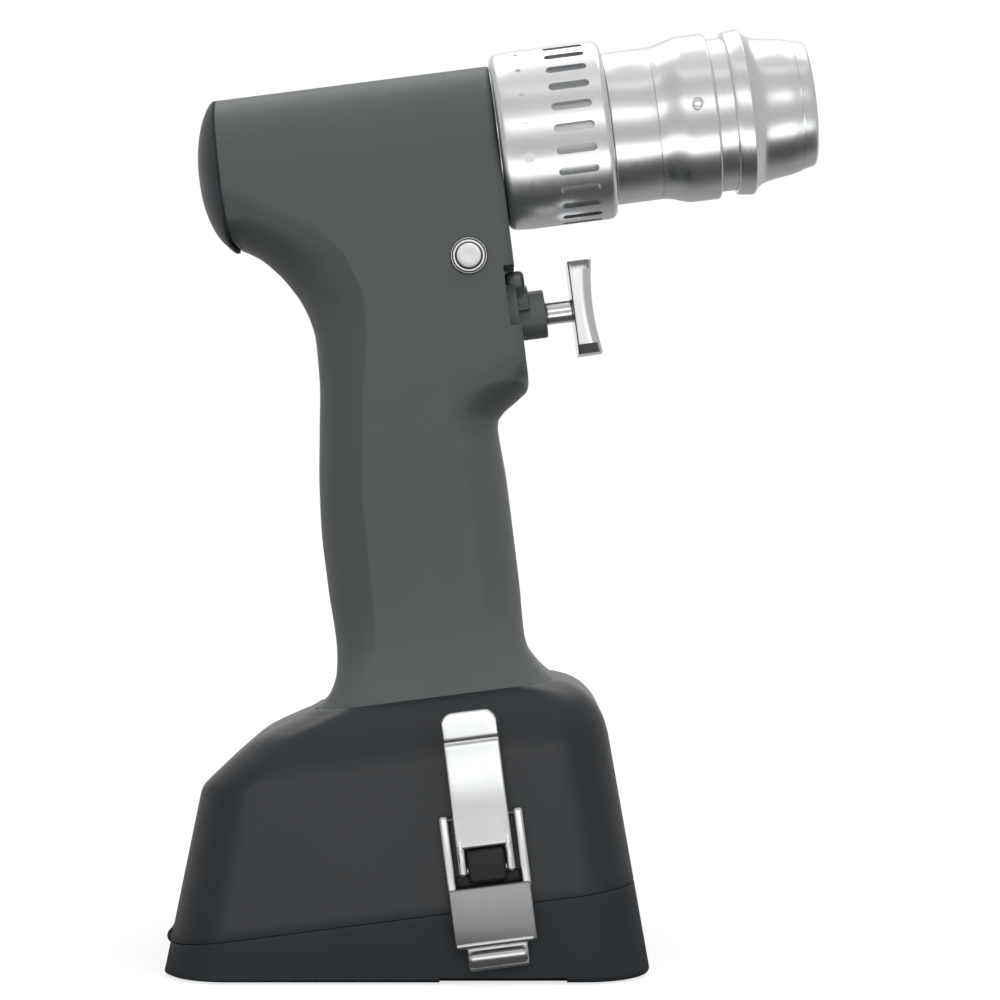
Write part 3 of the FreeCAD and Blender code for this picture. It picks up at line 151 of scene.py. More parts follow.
def curve(points, at):
    """A cubic from point to point that never overshoots.

    Its slope at a point is the weighted harmonic mean of the two chords' slopes there, or none where
    they differ in sign.
    """
    p = np.array(points, float)
    x, y = p[:, 0], p[:, 1]
    h = np.diff(x)
    d = np.diff(y) / h
    m = np.zeros(len(x))
    same = d[:-1] * d[1:] > 0
    w0 = 2 * h[1:] + h[:-1]
    w1 = h[1:] + 2 * h[:-1]
    safe0 = np.where(same, d[:-1], 1.0)
    safe1 = np.where(same, d[1:], 1.0)
    m[1:-1] = np.where(same, (w0 + w1) / (w0 / safe0 + w1 / safe1), 0.0)
    m[0], m[-1] = d[0], d[-1]
    at = np.clip(np.asarray(at, float), x[0], x[-1])
    i = np.clip(np.searchsorted(x, at, side="right") - 1, 0, len(h) - 1)
    t = (at - x[i]) / h[i]
    return ((1 + 2 * t) * (1 - t) ** 2 * y[i] + t * (1 - t) ** 2 * h[i] * m[i]
            + t * t * (3 - 2 * t) * y[i + 1] + t * t * (t - 1) * h[i] * m[i + 1])


def put(name, data):
    """An object with the data, in the scene's own collection."""
    obj = bpy.data.objects.new(name, data)
    bpy.context.scene.collection.objects.link(obj)
    return obj


def skin(name, rings, wrap=False, sharp=SMOOTH_ANGLE):
    """A mesh over closed rings of equal count, each joined to the next, with a fan on each open end.

    The rings are an array of (ring, point, xyz) in metres. With wrap, the last ring joins the first,
    and no end is open.
    """
    rings = np.asarray(rings, float)
    m, n = rings.shape[:2]
    index = np.arange(m * n).reshape(m, n)
    upper = np.concatenate([index, index[:1]]) if wrap else index
    a, b = upper[:-1], upper[1:]
    quads = columns(a, np.roll(a, -1, 1), np.roll(b, -1, 1), b).reshape(-1, 4)
    points = rings.reshape(-1, 3)
    faces = quads.tolist()
    for row, turn in () if wrap else ((0, 1), (m - 1, -1)):
        fan = columns(np.full(n, len(points)), np.roll(index[row], -1), index[row])
        points = np.concatenate([points, rings[row].mean(0)[None]])
        faces += fan[:, ::turn].tolist()
    mesh = bpy.data.meshes.new(name)
    mesh.from_pydata(points.tolist(), [], faces)
    clean = bmesh.new()
    clean.from_mesh(mesh)
    bmesh.ops.remove_doubles(clean, verts=clean.verts, dist=2e-6)
    bmesh.ops.dissolve_degenerate(clean, edges=clean.edges, dist=1e-7)
    if clean.calc_volume(signed=True) < 0:
        bmesh.ops.reverse_faces(clean, faces=clean.faces)
    clean.to_mesh(mesh)
    clean.free()
    return shade(put(name, mesh), sharp)


def shade(obj, sharp=SMOOTH_ANGLE):
    """Smooth shading that breaks where neighbouring faces meet at more than the angle."""
    mesh = obj.data
    mesh.polygons.foreach_set("use_smooth", np.ones(len(mesh.polygons), bool))
    mesh.set_sharp_from_angle(angle=sharp)
    return obj


def joined(name, pieces):
    """One object with the meshes of several."""
    whole = bmesh.new()
    for piece in pieces:
        whole.from_mesh(piece.data)
    mesh = bpy.data.meshes.new(name)
    whole.to_mesh(mesh)
    whole.free()
    for piece in pieces:
        bpy.data.objects.remove(piece)
    return shade(put(name, mesh))


def carve(obj, cutters, sharp=SMOOTH_ANGLE):
    """Takes the cutters' shapes out of a piece, and removes the cutters."""
    for cutter in cutters:
        step = obj.modifiers.new("cut", "BOOLEAN")
        step.operation = "DIFFERENCE"
        step.solver = "EXACT"
        step.object = cutter
    depsgraph = bpy.context.evaluated_depsgraph_get()
    mesh = bpy.data.meshes.new_from_object(obj.evaluated_get(depsgraph))
    obj.modifiers.clear()
    obj.data = mesh
    for cutter in cutters:
        bpy.data.objects.remove(cutter)
    return shade(obj, sharp)


def quarter(reach, depth, count):
    """A quarter of an ellipse from the side to the end, as distances from the end and from the side."""
    t = np.linspace(0, pi / 2, count + 1)
    return columns(reach * (1 - np.sin(t)), depth * (1 - np.cos(t)))


def outline_of(x0, x1, half, rear, front, side, end):
    """A closed outline: straight sides, a corner at each end of each, and straight ends, as (x, y) rows.

    rear and front are a corner's distances from the end and from the side, from its side to its end.
    """
    far_rear = columns(x0 + rear[:, 0], half - rear[:, 1])
    far_front = columns(x1 - front[:, 0], half - front[:, 1])
    (r0, f0), (r1, f1) = (far_rear[0, 0], far_front[0, 0]), (far_rear[-1, 1], far_front[-1, 1])
    flip = np.array([1, -1])
    pieces = [columns(spaced(r0, f0, side), np.full(side, -half)), far_front[:-1] * flip,
              columns(np.full(end, x1), spaced(-f1, f1, end)), far_front[:0:-1],
              columns(spaced(f0, r0, side), np.full(side, half)), far_rear[:-1],
              columns(np.full(end, x0), spaced(r1, -r1, end)), far_rear[:0:-1] * flip]
    return np.concatenate(pieces)


def rounded_ring(x0, x1, half, rear, front, corner, side, end):
    """A closed outline of a rectangle with elliptic corners, as (x, y) rows.

    rear and front are (depth along x, depth along y) of the corners at each end.
    """
    return outline_of(x0, x1, half, quarter(*rear, corner), quarter(*front, corner), side, end)


def at_height(outline, z):
    """(x, y) rows with the same z for all of them."""
    return np.concatenate([outline, np.full((len(outline), 1), z)], 1)


def level(outline, v):
    """(x, y) rows at a level of the drill frame."""
    return at_height(outline, -v)


def arc_points(x, r, radius, start, stop, steps=5):
    """Points of a small round: (x, r) is its centre, the angles are in degrees from +x towards +r."""
    t = np.radians(np.linspace(start, stop, steps))
    return [(x + radius * cos(a), r + radius * sin(a)) for a in t]


def lathe(name, profile, place=drill, centre=(0.0, 0.0), segments=128, wrap=True, axis="x"):
    """A solid of revolution: each (x, radius) point of a profile is turned about its axis.

    With wrap the profile is closed; without it, it starts and ends at the axis or at a flat end.
    """
    p = np.array(profile, float)
    a = spaced(0, 2 * pi, segments)
    c, s = np.cos(a), np.sin(a)
    along = np.repeat(p[:, :1], segments, 1)
    first = p[:, 1:] * c[None]
    second = p[:, 1:] * s[None]
    if axis == "x":
        rings = columns(along, first + centre[0], second + centre[1])
    else:
        rings = columns(first + centre[0], along, second + centre[1])
    return skin(name, place(rings), wrap)


def rod(name, r, x0, x1, place=drill, centre=(0.0, 0.0), segments=48, axis="x"):
    """A plain cylinder, to cut with."""
    return lathe(name, [(x0, r), (x1, r)], place, centre, segments, False, axis)


def block(name, low, high, radius, place=drill, steps=4):
    """A box with round edges: a rounded outline in x and y, drawn in towards its top and bottom."""
    t = np.linspace(0, pi / 2, steps + 1)
    x0, y0, z0 = low
    x1, y1, z1 = high
    r = min(radius, 0.49 * min(x1 - x0, y1 - y0, z1 - z0))
    inset = np.concatenate([r * (1 - np.sin(t)), r * (1 - np.cos(t))])
    height = np.concatenate([z0 + r * (1 - np.cos(t)), z1 - r * (1 - np.sin(t))])
    rings = []
    for i, z in zip(inset, height):
        k = max(r - i, 0.02)
        outline = rounded_ring(x0 + i, x1 - i, (y1 - y0) / 2 - i, (k, k), (k, k), steps, 2, 2)
        outline[:, 1] += (y0 + y1) / 2
        rings.append(at_height(outline, z))
    return skin(name, place(rings))


def dress(obj, finish):
    """Gives a piece one finish all over."""
    obj.data.materials.clear()
    obj.data.materials.append(finish)


def replace(obj, body, node, finish):
    """Sets a finished piece in the place of a node: its body and its finish, with the node hidden."""
    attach(obj, body)
    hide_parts(node)
    dress(obj, finish)
    return obj


# Materials

def material(name):
    """A new material, its nodes and its shader."""
    mat = bpy.data.materials.new(name)
    mat.use_nodes = True
    return mat, mat.node_tree, mat.node_tree.nodes["Principled BSDF"]


def feed(tree, node, inputs):
    """Gives a node its inputs by name or number: another node's output is linked, and a value is set."""
    for key, value in inputs.items():
        if isinstance(value, bpy.types.NodeSocket):
            tree.links.new(value, node.inputs[key])
        else:
            node.inputs[key].default_value = value


def add(tree, kind, inputs, **settings):
    """A new node with its settings and its inputs."""
    node = tree.nodes.new(kind)
    for key, value in settings.items():
        setattr(node, key, value)
    feed(tree, node, inputs)
    return node


def place_on_object(tree, scale=(1, 1, 1), turn=0.0):
    """Object coordinates, turned about y and stretched by a scale along each axis."""
    coords = tree.nodes.new("ShaderNodeTexCoord")
    turned = add(tree, "ShaderNodeMapping", {"Vector": coords.outputs["Object"], "Rotation": (0, turn, 0)})
    scaled = add(tree, "ShaderNodeMapping", {"Vector": turned.outputs["Vector"], "Scale": scale})
    return scaled.outputs["Vector"]


def noise(tree, where, scale, detail):
    """Smooth noise from 0 to 1, about as fine as one wave to each 1 / scale, with finer layers on it."""
    inputs = {"Vector": where, "Scale": scale, "Detail": detail, "Roughness": 0.5}
    return add(tree, "ShaderNodeTexNoise", inputs).outputs["Fac"]


def spread(tree, factor, low, high, from_low=0.3, from_high=0.7):
    """The stretch of the factor between two values laid on low to high, and held beyond its ends."""
    node = add(tree, "ShaderNodeMapRange", {"Value": factor, "From Min": from_low, "From Max": from_high,
                                            "To Min": low, "To Max": high})
    return node.outputs["Result"]


def calc(tree, operation, first, second=0.0):
    """An operation on two values, or on the first alone, by its name."""
    return add(tree, "ShaderNodeMath", {0: first, 1: second}, operation=operation).outputs["Value"]


def between(tree, factor, first, second):
    """A value between two, by the factor."""
    return add(tree, "ShaderNodeMix", {"Factor": factor, "A": first, "B": second}).outputs["Result"]


def tint(tree, factor, first, second):
    """A colour between two, by the factor."""
    node = add(tree, "ShaderNodeMix", {"Factor": factor, "A": (*first, 1), "B": (*second, 1)},
               data_type="RGBA")
    return node.outputs["Result"]


def bump(tree, shader, height, strength, distance):
    """Relief in the shader's normal, by a height."""
    node = add(tree, "ShaderNodeBump", {"Height": height, "Strength": strength, "Distance": distance})
    feed(tree, shader, {"Normal": node.outputs["Normal"]})


def coated(name, first, second, rough, speckle=900.0, depth=0.00003, shine=0.5):
    """A sprayed or moulded skin: fine grain, a slow change of colour and an uneven gloss."""
    mat, tree, shader = material(name)
    where = place_on_object(tree)
    slow = noise(tree, where, 28.0, 4.0)
    fine = noise(tree, where, speckle, 2.0)
    feed(tree, shader, {"Base Color": tint(tree, spread(tree, slow, 0.0, 1.0), first, second),
                        "Roughness": spread(tree, slow, rough - 0.04, rough + 0.05),
                        "Specular IOR Level": shine})
    bump(tree, shader, fine, 0.35, depth)
    return mat


def turned_metal(name, colour, rough, scale, strength=0.1, dirt=0.04):
    """Metal with fine lines from a lathe or a brush: noise that is long across the scale's low axes.

    The pattern is turned by the tilt, so that its first axis is the barrel's.
    """
    mat, tree, shader = material(name)
    lines = noise(tree, place_on_object(tree, scale, TILT), 1.0, 2.0)
    slow = noise(tree, place_on_object(tree), 40.0, 3.0)
    darker = tuple(c * (1 - dirt) for c in colour)
    feed(tree, shader, {"Base Color": tint(tree, spread(tree, slow, 0.0, 1.0), colour, darker),
                        "Roughness": spread(tree, lines, rough * 0.94, rough * 1.06), "Metallic": 1.0})
    bump(tree, shader, lines, strength, 0.000004)
    return mat


def plain_metal(name, colour, rough):
    """Metal with an even fine grain."""
    return turned_metal(name, colour, rough, (900, 900, 900))


HOUSING = coated("housing_paint", (0.094, 0.109, 0.106), (0.102, 0.119, 0.116), 0.42, 1400.0, 0.00002, 0.35)
CAP = coated("rear_cap_skin", (0.047, 0.056, 0.063), (0.052, 0.062, 0.070), 0.38, 1400.0, 0.00002, 0.3)
BASE = coated("base_skin", (0.0120, 0.0165, 0.0210), (0.0145, 0.0195, 0.0245), 0.38, 1200.0, 0.00003, 0.52)
LID = coated("lid_skin", (0.0215, 0.0275, 0.0320), (0.0250, 0.0320, 0.0370), 0.42, 1200.0, 0.00003, 0.2)
BUSHING = coated("bushing_skin", (0.125, 0.142, 0.132), (0.138, 0.156, 0.145), 0.40, 1500.0, 0.00001, 0.3)
LEVER = coated("mode_lever_skin", (0.060, 0.072, 0.072), (0.068, 0.081, 0.082), 0.24, 1200.0, 0.00001, 0.9)
BLACK = coated("black_plastic", (0.012, 0.012, 0.013), (0.018, 0.018, 0.02), 0.5)
# Near-black for the lug blocks, and for their feet, which are painted shade
LUG_AND_SHADE = coated("lug_black_and_painted_shade", (0.008, 0.009, 0.010), (0.012, 0.013, 0.015), 0.35, 1200.0, 0.00001, 0.3)
RUBBER = coated("seal_rubber", (0.026, 0.030, 0.033), (0.032, 0.037, 0.040), 0.7, shine=0.2)
WHITE = coated("button_white", (0.93, 0.94, 0.94), (0.96, 0.97, 0.97), 0.25, 1500.0, 0.00001)
BOARD = coated("board_green", (0.02, 0.12, 0.06), (0.03, 0.16, 0.08), 0.4)
COPPER = turned_metal("copper_wire", (0.80, 0.42, 0.24), 0.35, (900, 900, 900))
CELL = coated("cell_sleeve", (0.06, 0.14, 0.32), (0.08, 0.17, 0.36), 0.35)
SATIN = turned_metal("satin_collar", (0.90, 0.915, 0.925), 0.29, (900, 8, 8), 0.008)
POLISHED = turned_metal("polished_nose", (0.87, 0.885, 0.90), 0.26, (900, 8, 8), 0.005)
# Darker metal for the floors of the collar's slots: painted shade in the recesses
SLOT_FLOOR_SHADE = plain_metal("slot_floor_painted_shade", (0.62, 0.63, 0.64), 0.34)
TRIGGER_STEEL = turned_metal("trigger_steel", (0.84, 0.85, 0.86), 0.17, (900, 40, 900), 0.05)
LATCH_STEEL = turned_metal("latch_steel", (0.71, 0.725, 0.725), 0.25, (300, 300, 15), 0.005, 0.02)
PLATE_STEEL = turned_metal("bail_plate_steel", (0.28, 0.285, 0.29), 0.30, (300, 300, 15), 0.008, 0.06)
STEEL = plain_metal("ground_steel", (0.60, 0.61, 0.62), 0.28)
DARK_STEEL = plain_metal("dark_steel", (0.10, 0.105, 0.11), 0.35)
LAMINATION = turned_metal("lamination", (0.30, 0.30, 0.31), 0.45, (3000, 40, 40))


# Handpiece

# Level below the axis, and where the round back and the round front meet the flat sides there
BACK_EDGE = [(2.6, -66.8), (10.5, -54.7), (15.9, -46.5), (22.9, -40.6), (32.2, -37.4), (41.2, -37.5),
             (57.0, -40.6), (68.4, -42.0), (79.8, -43.5), (93.8, -43.9), (107.7, -44.2), (126.5, -47.0)]
FRONT_EDGE = [(49.0, 0.0), (50.0, -2.0), (51.5, -8.0), (54.0, -14.0), (57.5, -18.5), (61.5, -21.0),
              (64.5, -21.6), (68.0, -20.9), (72.0, -19.6), (80.0, -18.8), (112.0, -18.7), (126.5, -16.0)]
# Level, and how much of the crease there is at the edge: none where the round runs out smoothly
BACK_CREASE = [(12.0, 0.0), (24.0, 0.75), (34.0, 1.0), (104.0, 1.0), (120.0, 0.0)]
FRONT_CREASE = [(57.0, 0.0), (69.0, 1.0), (104.0, 1.0), (118.0, 0.0)]
BACK_TURN = 65.0
FRONT_TURN = 54.0
LEDGE = 57.2
FRONT_CORNER = 2.4
CORNER_STEPS = 16
CREASE_ANGLE = radians(13)


def reach_to(points, line):
    """Distance from each (x, level) point to a line of (level, x) points, by its nearest stretch."""
    a = np.array(line, float)[:, ::-1]
    a, b = a[:-1], a[1:]
    way = b - a
    t = ((points[:, None] - a) * way).sum(-1) / (way ** 2).sum(-1)
    near = a + np.clip(t, 0, 1)[..., None] * way
    return np.sqrt(((points[:, None] - near) ** 2).sum(-1)).min(1)


def round_end(v, end, inward, edge_line, outline, turn, crease, deep):
    """A corner as distances from the end and from the side, between the outline and the edge on the side.

    inward is 1 where the grip lies in front of the end, and -1 where it lies behind it.
    A point's share t is its distance from the outline over the sum of that and its distance from the
    edge. The half width there is between a quarter circle of the depth, half - d + d sqrt(1 - (1-t)^2),
    and an arc that meets the side at a crease: half sin(a) / sin(turn), cos(a) = 1 - t (1 - cos(turn)).
    """
    half = curve(HALF_LINE, v)
    reach = abs(np.interp(v, *np.array(edge_line).T) - end)
    away = reach * np.linspace(1, 0, CORNER_STEPS + 1) ** 2
    points = columns(end + inward * away, np.full(CORNER_STEPS + 1, v))
    d0, d1 = reach_to(points, outline), reach_to(points, edge_line)
    t = d0 / (d0 + d1 + 1e-9)
    t[0] = 1.0
    deep = min(deep, half - 0.2)
    smooth = half - deep + deep * np.sqrt(np.clip(1 - (1 - t) ** 2, 0, 1))
    high = radians(turn)
    creased = half * np.sin(np.arccos(1 - t * (1 - cos(high)))) / sin(high)
    w = np.interp(v, *np.array(crease).T)
    return columns(away, half - smooth * (1 - w) - creased * w)


def handpiece_shell():
    """Level rings from the barrel's top line down to the flange.

    Above the axis the half width is that of a circle, so the level is -R cos(a). Below it the sides
    are flat, and the back, and the front from just above the ledge, are rounds that follow the outline.
    """
    top = -BARREL_R * np.cos(spaced(0, pi / 2, 26))
    levels = np.concatenate([top, spaced(0, 12, 18), spaced(12, 34, 60), spaced(34, 48, 14),
                             spaced(48, 72, 66), spaced(72, 112, 26), np.linspace(112, GRIP_BOTTOM, 30)])
    back = np.linspace(17.6, GRIP_BOTTOM + 10, 160)
    back_line = [(BARREL_BOTTOM, -90.0), (BARREL_BOTTOM, -64.8)] + list(zip(back, curve(REAR_LINE, back)))
    front = np.linspace(LEDGE, GRIP_BOTTOM + 10, 160)
    front_line = [(LEDGE, 20.0)] + list(zip(front, curve(FRONT_LINE, front)))
    rings = []
    for v in levels:
        half = sqrt(max(BARREL_R ** 2 - v * v, 0.0)) if v < 0 else curve(HALF_LINE, v)
        full = half - 0.2
        x0, x1 = curve(REAR_LINE, v), curve(FRONT_LINE, v)
        small = min(0.25, half * 0.5)
        rear = quarter(small, small, CORNER_STEPS)
        if v >= 2.7:
            deep = np.interp(v, [17, 34, 104, 120], [11.0, full, full, 11.0])
            rear = round_end(v, x0, 1.0, BACK_EDGE, back_line, BACK_TURN, BACK_CREASE, deep)
        corner = min(FRONT_CORNER, half * 0.5) * np.interp(v, [57, 60], [1.0, 0.12])
        front = quarter(corner, corner, CORNER_STEPS)
        if v > 50.3:
            deep = np.interp(v, [50, 58, 69, 104, 120], [4.0, 9.0, full, full, 11.0])
            front = round_end(v, x1, -1.0, FRONT_EDGE, front_line, FRONT_TURN, FRONT_CREASE, deep)
            inside = np.clip(1 - front[:, 0] / corner, 0, 1)
            front[:, 1] = np.minimum(front[:, 1] + corner * (1 - np.sqrt(1 - inside ** 2)), half - 0.05)
        rings.append(level(outline_of(x0, x1, half, rear, front, 30, 10), v))
    return skin("handpiece_shell", drill(rings), sharp=CREASE_ANGLE)


def handpiece():
    """The shell with its barrel bore, button bore and the channel of the mode lever cut in."""
    shell = handpiece_shell()
    floor, out, wide = BARREL_FRONT - 2.6, 3.0, 30.0
    channel_low, channel_top = -44.3, -30.4
    cutters = [rod("bore", BARREL_BORE, BARREL_REAR - 3, out, segments=96),
               block("channel", (floor, -wide, channel_low), (out, wide, channel_top), 0.01),
               rod("ring", 8.25, floor - 0.02, out, drill, STEM_LINE, 64),
               rod("stem", 4.6, -wide, out, drill, STEM_LINE),
               rod("button", 4.27, -wide, wide, drill, BUTTON_LINE, 48, "y")]
    shell = carve(shell, cutters, CREASE_ANGLE)
    return replace(shell, "handpiece", "handpiece_housing", HOUSING)


def cap_section():
    """The barrel's section as (y, z) rows: a half circle over a box with round lower corners."""
    r, c, low = BARREL_R, BARREL_CORNER, -BARREL_BOTTOM
    a = np.linspace(0, pi, 64)
    side = spaced(0, 1, 8)
    t = spaced(0, pi / 2, 16)
    bottom = spaced(0, 1, 12)
    y = np.concatenate([r * np.cos(a), np.full(8, -r), -r + c - c * np.cos(t),
                        (-r + c) + (2 * r - 2 * c) * bottom, r - c + c * np.sin(t), np.full(8, r)])
    z = np.concatenate([r * np.sin(a), (low + c) * side, low + c - c * np.sin(t),
                        np.full(12, low), low + c - c * np.cos(t), (low + c) * (1 - side)])
    return columns(y, z)


def rear_cap():
    """The barrel's section, scaled about the axis by s, at a depth of D (1 - s^2)^0.7 behind a round."""
    seam, round_depth, dome = BARREL_REAR - 0.45, 0.14, 5.8
    section = cap_section()
    rows = [(0.0, 0.985), (-0.05, 0.994), (-round_depth, 1.0)]
    for s in np.cos(np.radians(np.linspace(3, 89.5, 40))):
        rows.append((-round_depth - dome * (1 - s * s) ** 0.7, s))
    rings = [np.concatenate([np.full((len(section), 1), seam + x), section * s], 1) for x, s in rows]
    return replace(skin("rear_cap_dome", drill(rings)), "handpiece", "rear_cap", CAP)


# Front end

SLEEVE_BORE = 14.02
SLEEVE_R = 17.9


def collar():
    """A turned ring with soft shoulders, and its slots and dimples cut in.

    A slot's outline is two half circles and the straight lines between them. It is carried outwards
    from its floor, and turned about the axis by its own angle.
    """
    r, x0, x1, bore = 21.0, -1.8, 24.2, 14.05
    slots, slot_depth, dot_x = 26, 1.8, 4.5
    half, start, stop = 0.95, 10.9, 20.3
    profile = ([(1.3, bore), (1.3, 17.7), (x0, 17.7), (x0, 18.5)]
               + arc_points(x0 + 2.0, r - 2.25, 2.0, 175, 100, 9) + [(1.6, r - 0.12), (3.4, r)]
               + arc_points(x1 - 1.8, r - 1.8, 1.8, 90, 0, 10) + [(x1, bore)])
    ring = lathe("collar_ring", profile, segments=8 * slots)
    t = np.linspace(-pi / 2, pi / 2, 9)
    slot = np.concatenate([columns(stop - half + half * np.cos(t), half * np.sin(t)),
                           columns(start + half - half * np.cos(t), -half * np.sin(t))])
    t = spaced(0, 2 * pi, 20)
    dot, ring_dot = (columns(dot_x + size * np.cos(t), size * np.sin(t)) for size in (0.62, 1.25))
    cuts = [(slot, 10.2 + 360.0 / slots * i, slot_depth) for i in range(slots)]
    cuts += [(dot, degrees, 0.5) for degrees in (28.5, 48.5, 69.0, 89.0)] + [(ring_dot, 109.0, 0.1)]
    cutters = []
    for outline, degrees, deep in cuts:
        a = radians(degrees)
        x, y = outline.T
        rings = [columns(x, y * cos(a) - out * sin(a), y * sin(a) + out * cos(a))
                 for out in (r - deep, r + 1.0)]
        cutters.append(skin("slot", drill(rings)))
    ring = carve(ring, [joined("slots", cutters)])
    replace(ring, "release_collar", "release_collar", SATIN)
    # Faces inside the slots take the darker metal, as painted shade
    ring.data.materials.append(SLOT_FLOOR_SHADE)
    middle = np.empty(len(ring.data.polygons) * 3)
    ring.data.polygons.foreach_get("center", middle)
    out = middle.reshape(-1, 3) / MM - (AXIS_X, 0, AXIS_Z)
    along = out[:, 0] * cos(TILT) + out[:, 2] * sin(TILT)
    up = out[:, 2] * cos(TILT) - out[:, 0] * sin(TILT)
    radius = np.hypot(out[:, 1], up)
    sunk = (radius < r - 0.35) & (radius > r - 1.9) & (along > 9.0) & (along < 20.6)
    ring.data.polygons.foreach_set("material_index", sunk.astype(np.int32))
    return ring


def sleeve_rear():
    """A plain band, turned from a section with a round edge at each end."""
    x0, x1, r = 24.4, 35.19, SLEEVE_R
    profile = ([(x0, SLEEVE_BORE)] + arc_points(x0 + 0.4, r - 0.4, 0.4, 180, 90, 4)
               + arc_points(x1 - 0.1, r - 0.1, 0.1, 90, 0, 3) + [(x1, SLEEVE_BORE)])
    band = lathe("chuck_band", profile)
    return replace(band, "handpiece", "chuck_sleeve_rear", POLISHED)


def pin_rings(profile):
    """Circles about the small pin's own line, which leaves the barrel's axis on the near side.

    The profile is (distance from the axis, radius).
    """
    a = radians(PIN_ANGLE)
    t = spaced(0, 2 * pi, 28)
    rings = [columns(PIN_X + r * np.cos(t), r * np.sin(t) * sin(a) - far * cos(a),
                     r * np.sin(t) * cos(a) + far * sin(a)) for far, r in profile]
    return drill(rings)


def sleeve_front():
    """A swell that rises by a smooth step into the bulge, a groove, and the neck."""
    start, stop, rise = 35.5, 42.7, 1.6
    x = np.linspace(start, stop, 22)
    t = (x - start) / (stop - start)
    swell = list(zip(x, SLEEVE_R + rise * t * t * (3 - 2 * t)))
    profile = ([(35.21, SLEEVE_BORE)] + arc_points(35.31, 17.8, 0.1, 180, 100, 3) + swell
               + [(44.5, 19.52), (46.5, 19.52)] + arc_points(48.3, 18.72, 0.8, 90, 0, 7)
               + [(49.1, 17.7), (49.35, 17.7), (49.35, 18.0), (53.4, 18.0), (53.6, 17.8),
                  (53.6, SLEEVE_BORE)])
    seat = skin("pin_seat", pin_rings([(18.3, 1.6), (21.0, 1.6)]))
    bulge = carve(lathe("chuck_bulge", profile, segments=160), [seat])
    replace(bulge, "handpiece", "chuck_sleeve_front", POLISHED)
    ball = [(18.0, 1.22), (19.3, 1.22), (19.5, 1.16), (19.62, 1.02), (19.7, 0.7), (19.73, 0.3)]
    return replace(skin("pin_head", pin_rings(ball)), "handpiece", "detent_pin", POLISHED)


def nose():
    """The ring, then a cone that falls in fast and flattens towards its lip, and the bore behind it."""
    x = np.linspace(57.9, 68.7, 26)
    cone = curve([(57.9, 18.3), (59.2, 17.35), (60.6, 16.9), (62.0, 16.62), (64.0, 16.32),
                  (66.4, 16.0), (68.7, 15.5)], x)
    profile = ([(53.0, 18.05)] + arc_points(53.5, 18.6, 0.5, 180, 100, 4) + [(54.4, 19.25), (56.0, 19.45)]
               + arc_points(56.7, 19.0, 0.5, 90, 20, 4) + list(zip(x, cone))
               + [(68.9, 15.15), (69.1, 15.25), (70.2, 15.0)] + arc_points(71.4, 13.8, 0.9, 75, 0, 7)
               + [(72.3, 8.4), (71.6, 7.4), (66.0, 7.4), (66.0, 6.3), (63.2, 6.3), (63.2, 6.8),
                  (61.0, 6.8), (61.0, 14.6), (57.2, 14.6), (57.2, 18.05)])
    piece = lathe("nose_cone", profile, segments=160)
    return replace(piece, "nose_sleeve", "nose_sleeve", POLISHED)


# Trigger, lever and button

def trigger():
    """A plate whose front is hollowed as a parabola and whose ends narrow in flat bevels, on a round stem.

    s runs up the plate from 0 to 1, and the hollow is h (1 - (2s - 1)^2) deep.
    """
    back, thick, top, low, half, hollow = 10.5, 5.8, -30.4, -52.3, 8.5, 1.1
    s = np.concatenate([[0.0, 0.012], np.linspace(0.10, 0.90, 29), [0.988, 1.0]])
    height = low + (top - low) * s
    front = back + thick - hollow * (1 - (2 * s - 1) ** 2)
    narrow = np.interp(s, [0, 0.012, 0.10, 0.90, 0.988, 1.0], [2.1, 1.8, 0, 0, 1.8, 2.1])
    rings = []
    for z, x, inset in zip(height, front, narrow):
        outline = rounded_ring(back, x, half - inset, (0.5, 0.5), (2.7, 2.2), 6, 6, 10)
        rings.append(at_height(outline, z))
    plate = skin("plate", drill(rings), sharp=radians(24))
    stem = lathe("stem", [(-18, 0.01), (-18, 2.75), (-8.6, 2.75), (-8.6, 4.0), (-7.6, 4.0), (-7.6, 2.75),
                          (10.0, 2.75), (10.4, 2.9), (10.7, 3.1), (10.7, 0.01)],
                 drill, STEM_LINE, 48, False)
    whole = shade(joined("trigger_plunger", [plate, stem]), radians(24))
    return replace(whole, "trigger", "trigger", TRIGGER_STEEL)


def bushing():
    """A turned sleeve round the trigger's stem, with a round front edge and a dished face."""
    x0, x1, r = -4.4, 4.15, 5.7
    profile = ([(-7.5, 2.8), (-7.5, 4.5), (x0, 4.5), (x0, r)]
               + arc_points(x1 - 0.45, r - 0.45, 0.45, 90, 0, 5)
               + [(x1, 4.6), (x1 - 0.35, 4.4), (x1 - 0.35, 3.2), (x1 - 0.6, 2.8)])
    piece = lathe("trigger_guide", profile, drill, STEM_LINE, 64)
    return replace(piece, "handpiece", "trigger_bushing", BUSHING)


def mode_lever():
    """A ring in the housing's seat; a tab with a round top; and a half tube that hugs the bushing.

    The half tube carries a rounded (x, radius) section along an angle from one side over the top.
    """
    z, count = STEM_LINE[1], 46
    floor = BARREL_FRONT - 2.5
    profile = [(floor, 5.76), (floor, 8.2)] + arc_points(-2.5, 7.9, 0.3, 90, 0, 4) + [(-2.2, 5.76)]
    ring = lathe("lever_ring", profile, drill, STEM_LINE, 72)
    replace(ring, "mode_lever", "mode_lever", BUSHING)
    tab = block("lever_tab", (floor, -3.0, z + 5.9), (0.1, 3.0, z + 10.7), 1.25, steps=7)
    x, y = outline_of(-2.6, 0.6, 0.8, quarter(0.3, 0.3, 4), quarter(0.7, 0.7, 5), 4, 3).T
    angle = np.radians(np.linspace(8, 172, count))[:, None]
    radius = 6.57 + y
    rings = columns(np.tile(x, (count, 1)), radius * np.cos(angle), z + radius * np.sin(angle))
    whole = joined("lever_tab_and_saddle", [tab, skin("lever_saddle", drill(rings))])
    return replace(whole, "mode_lever", "mode_lever", LEVER)


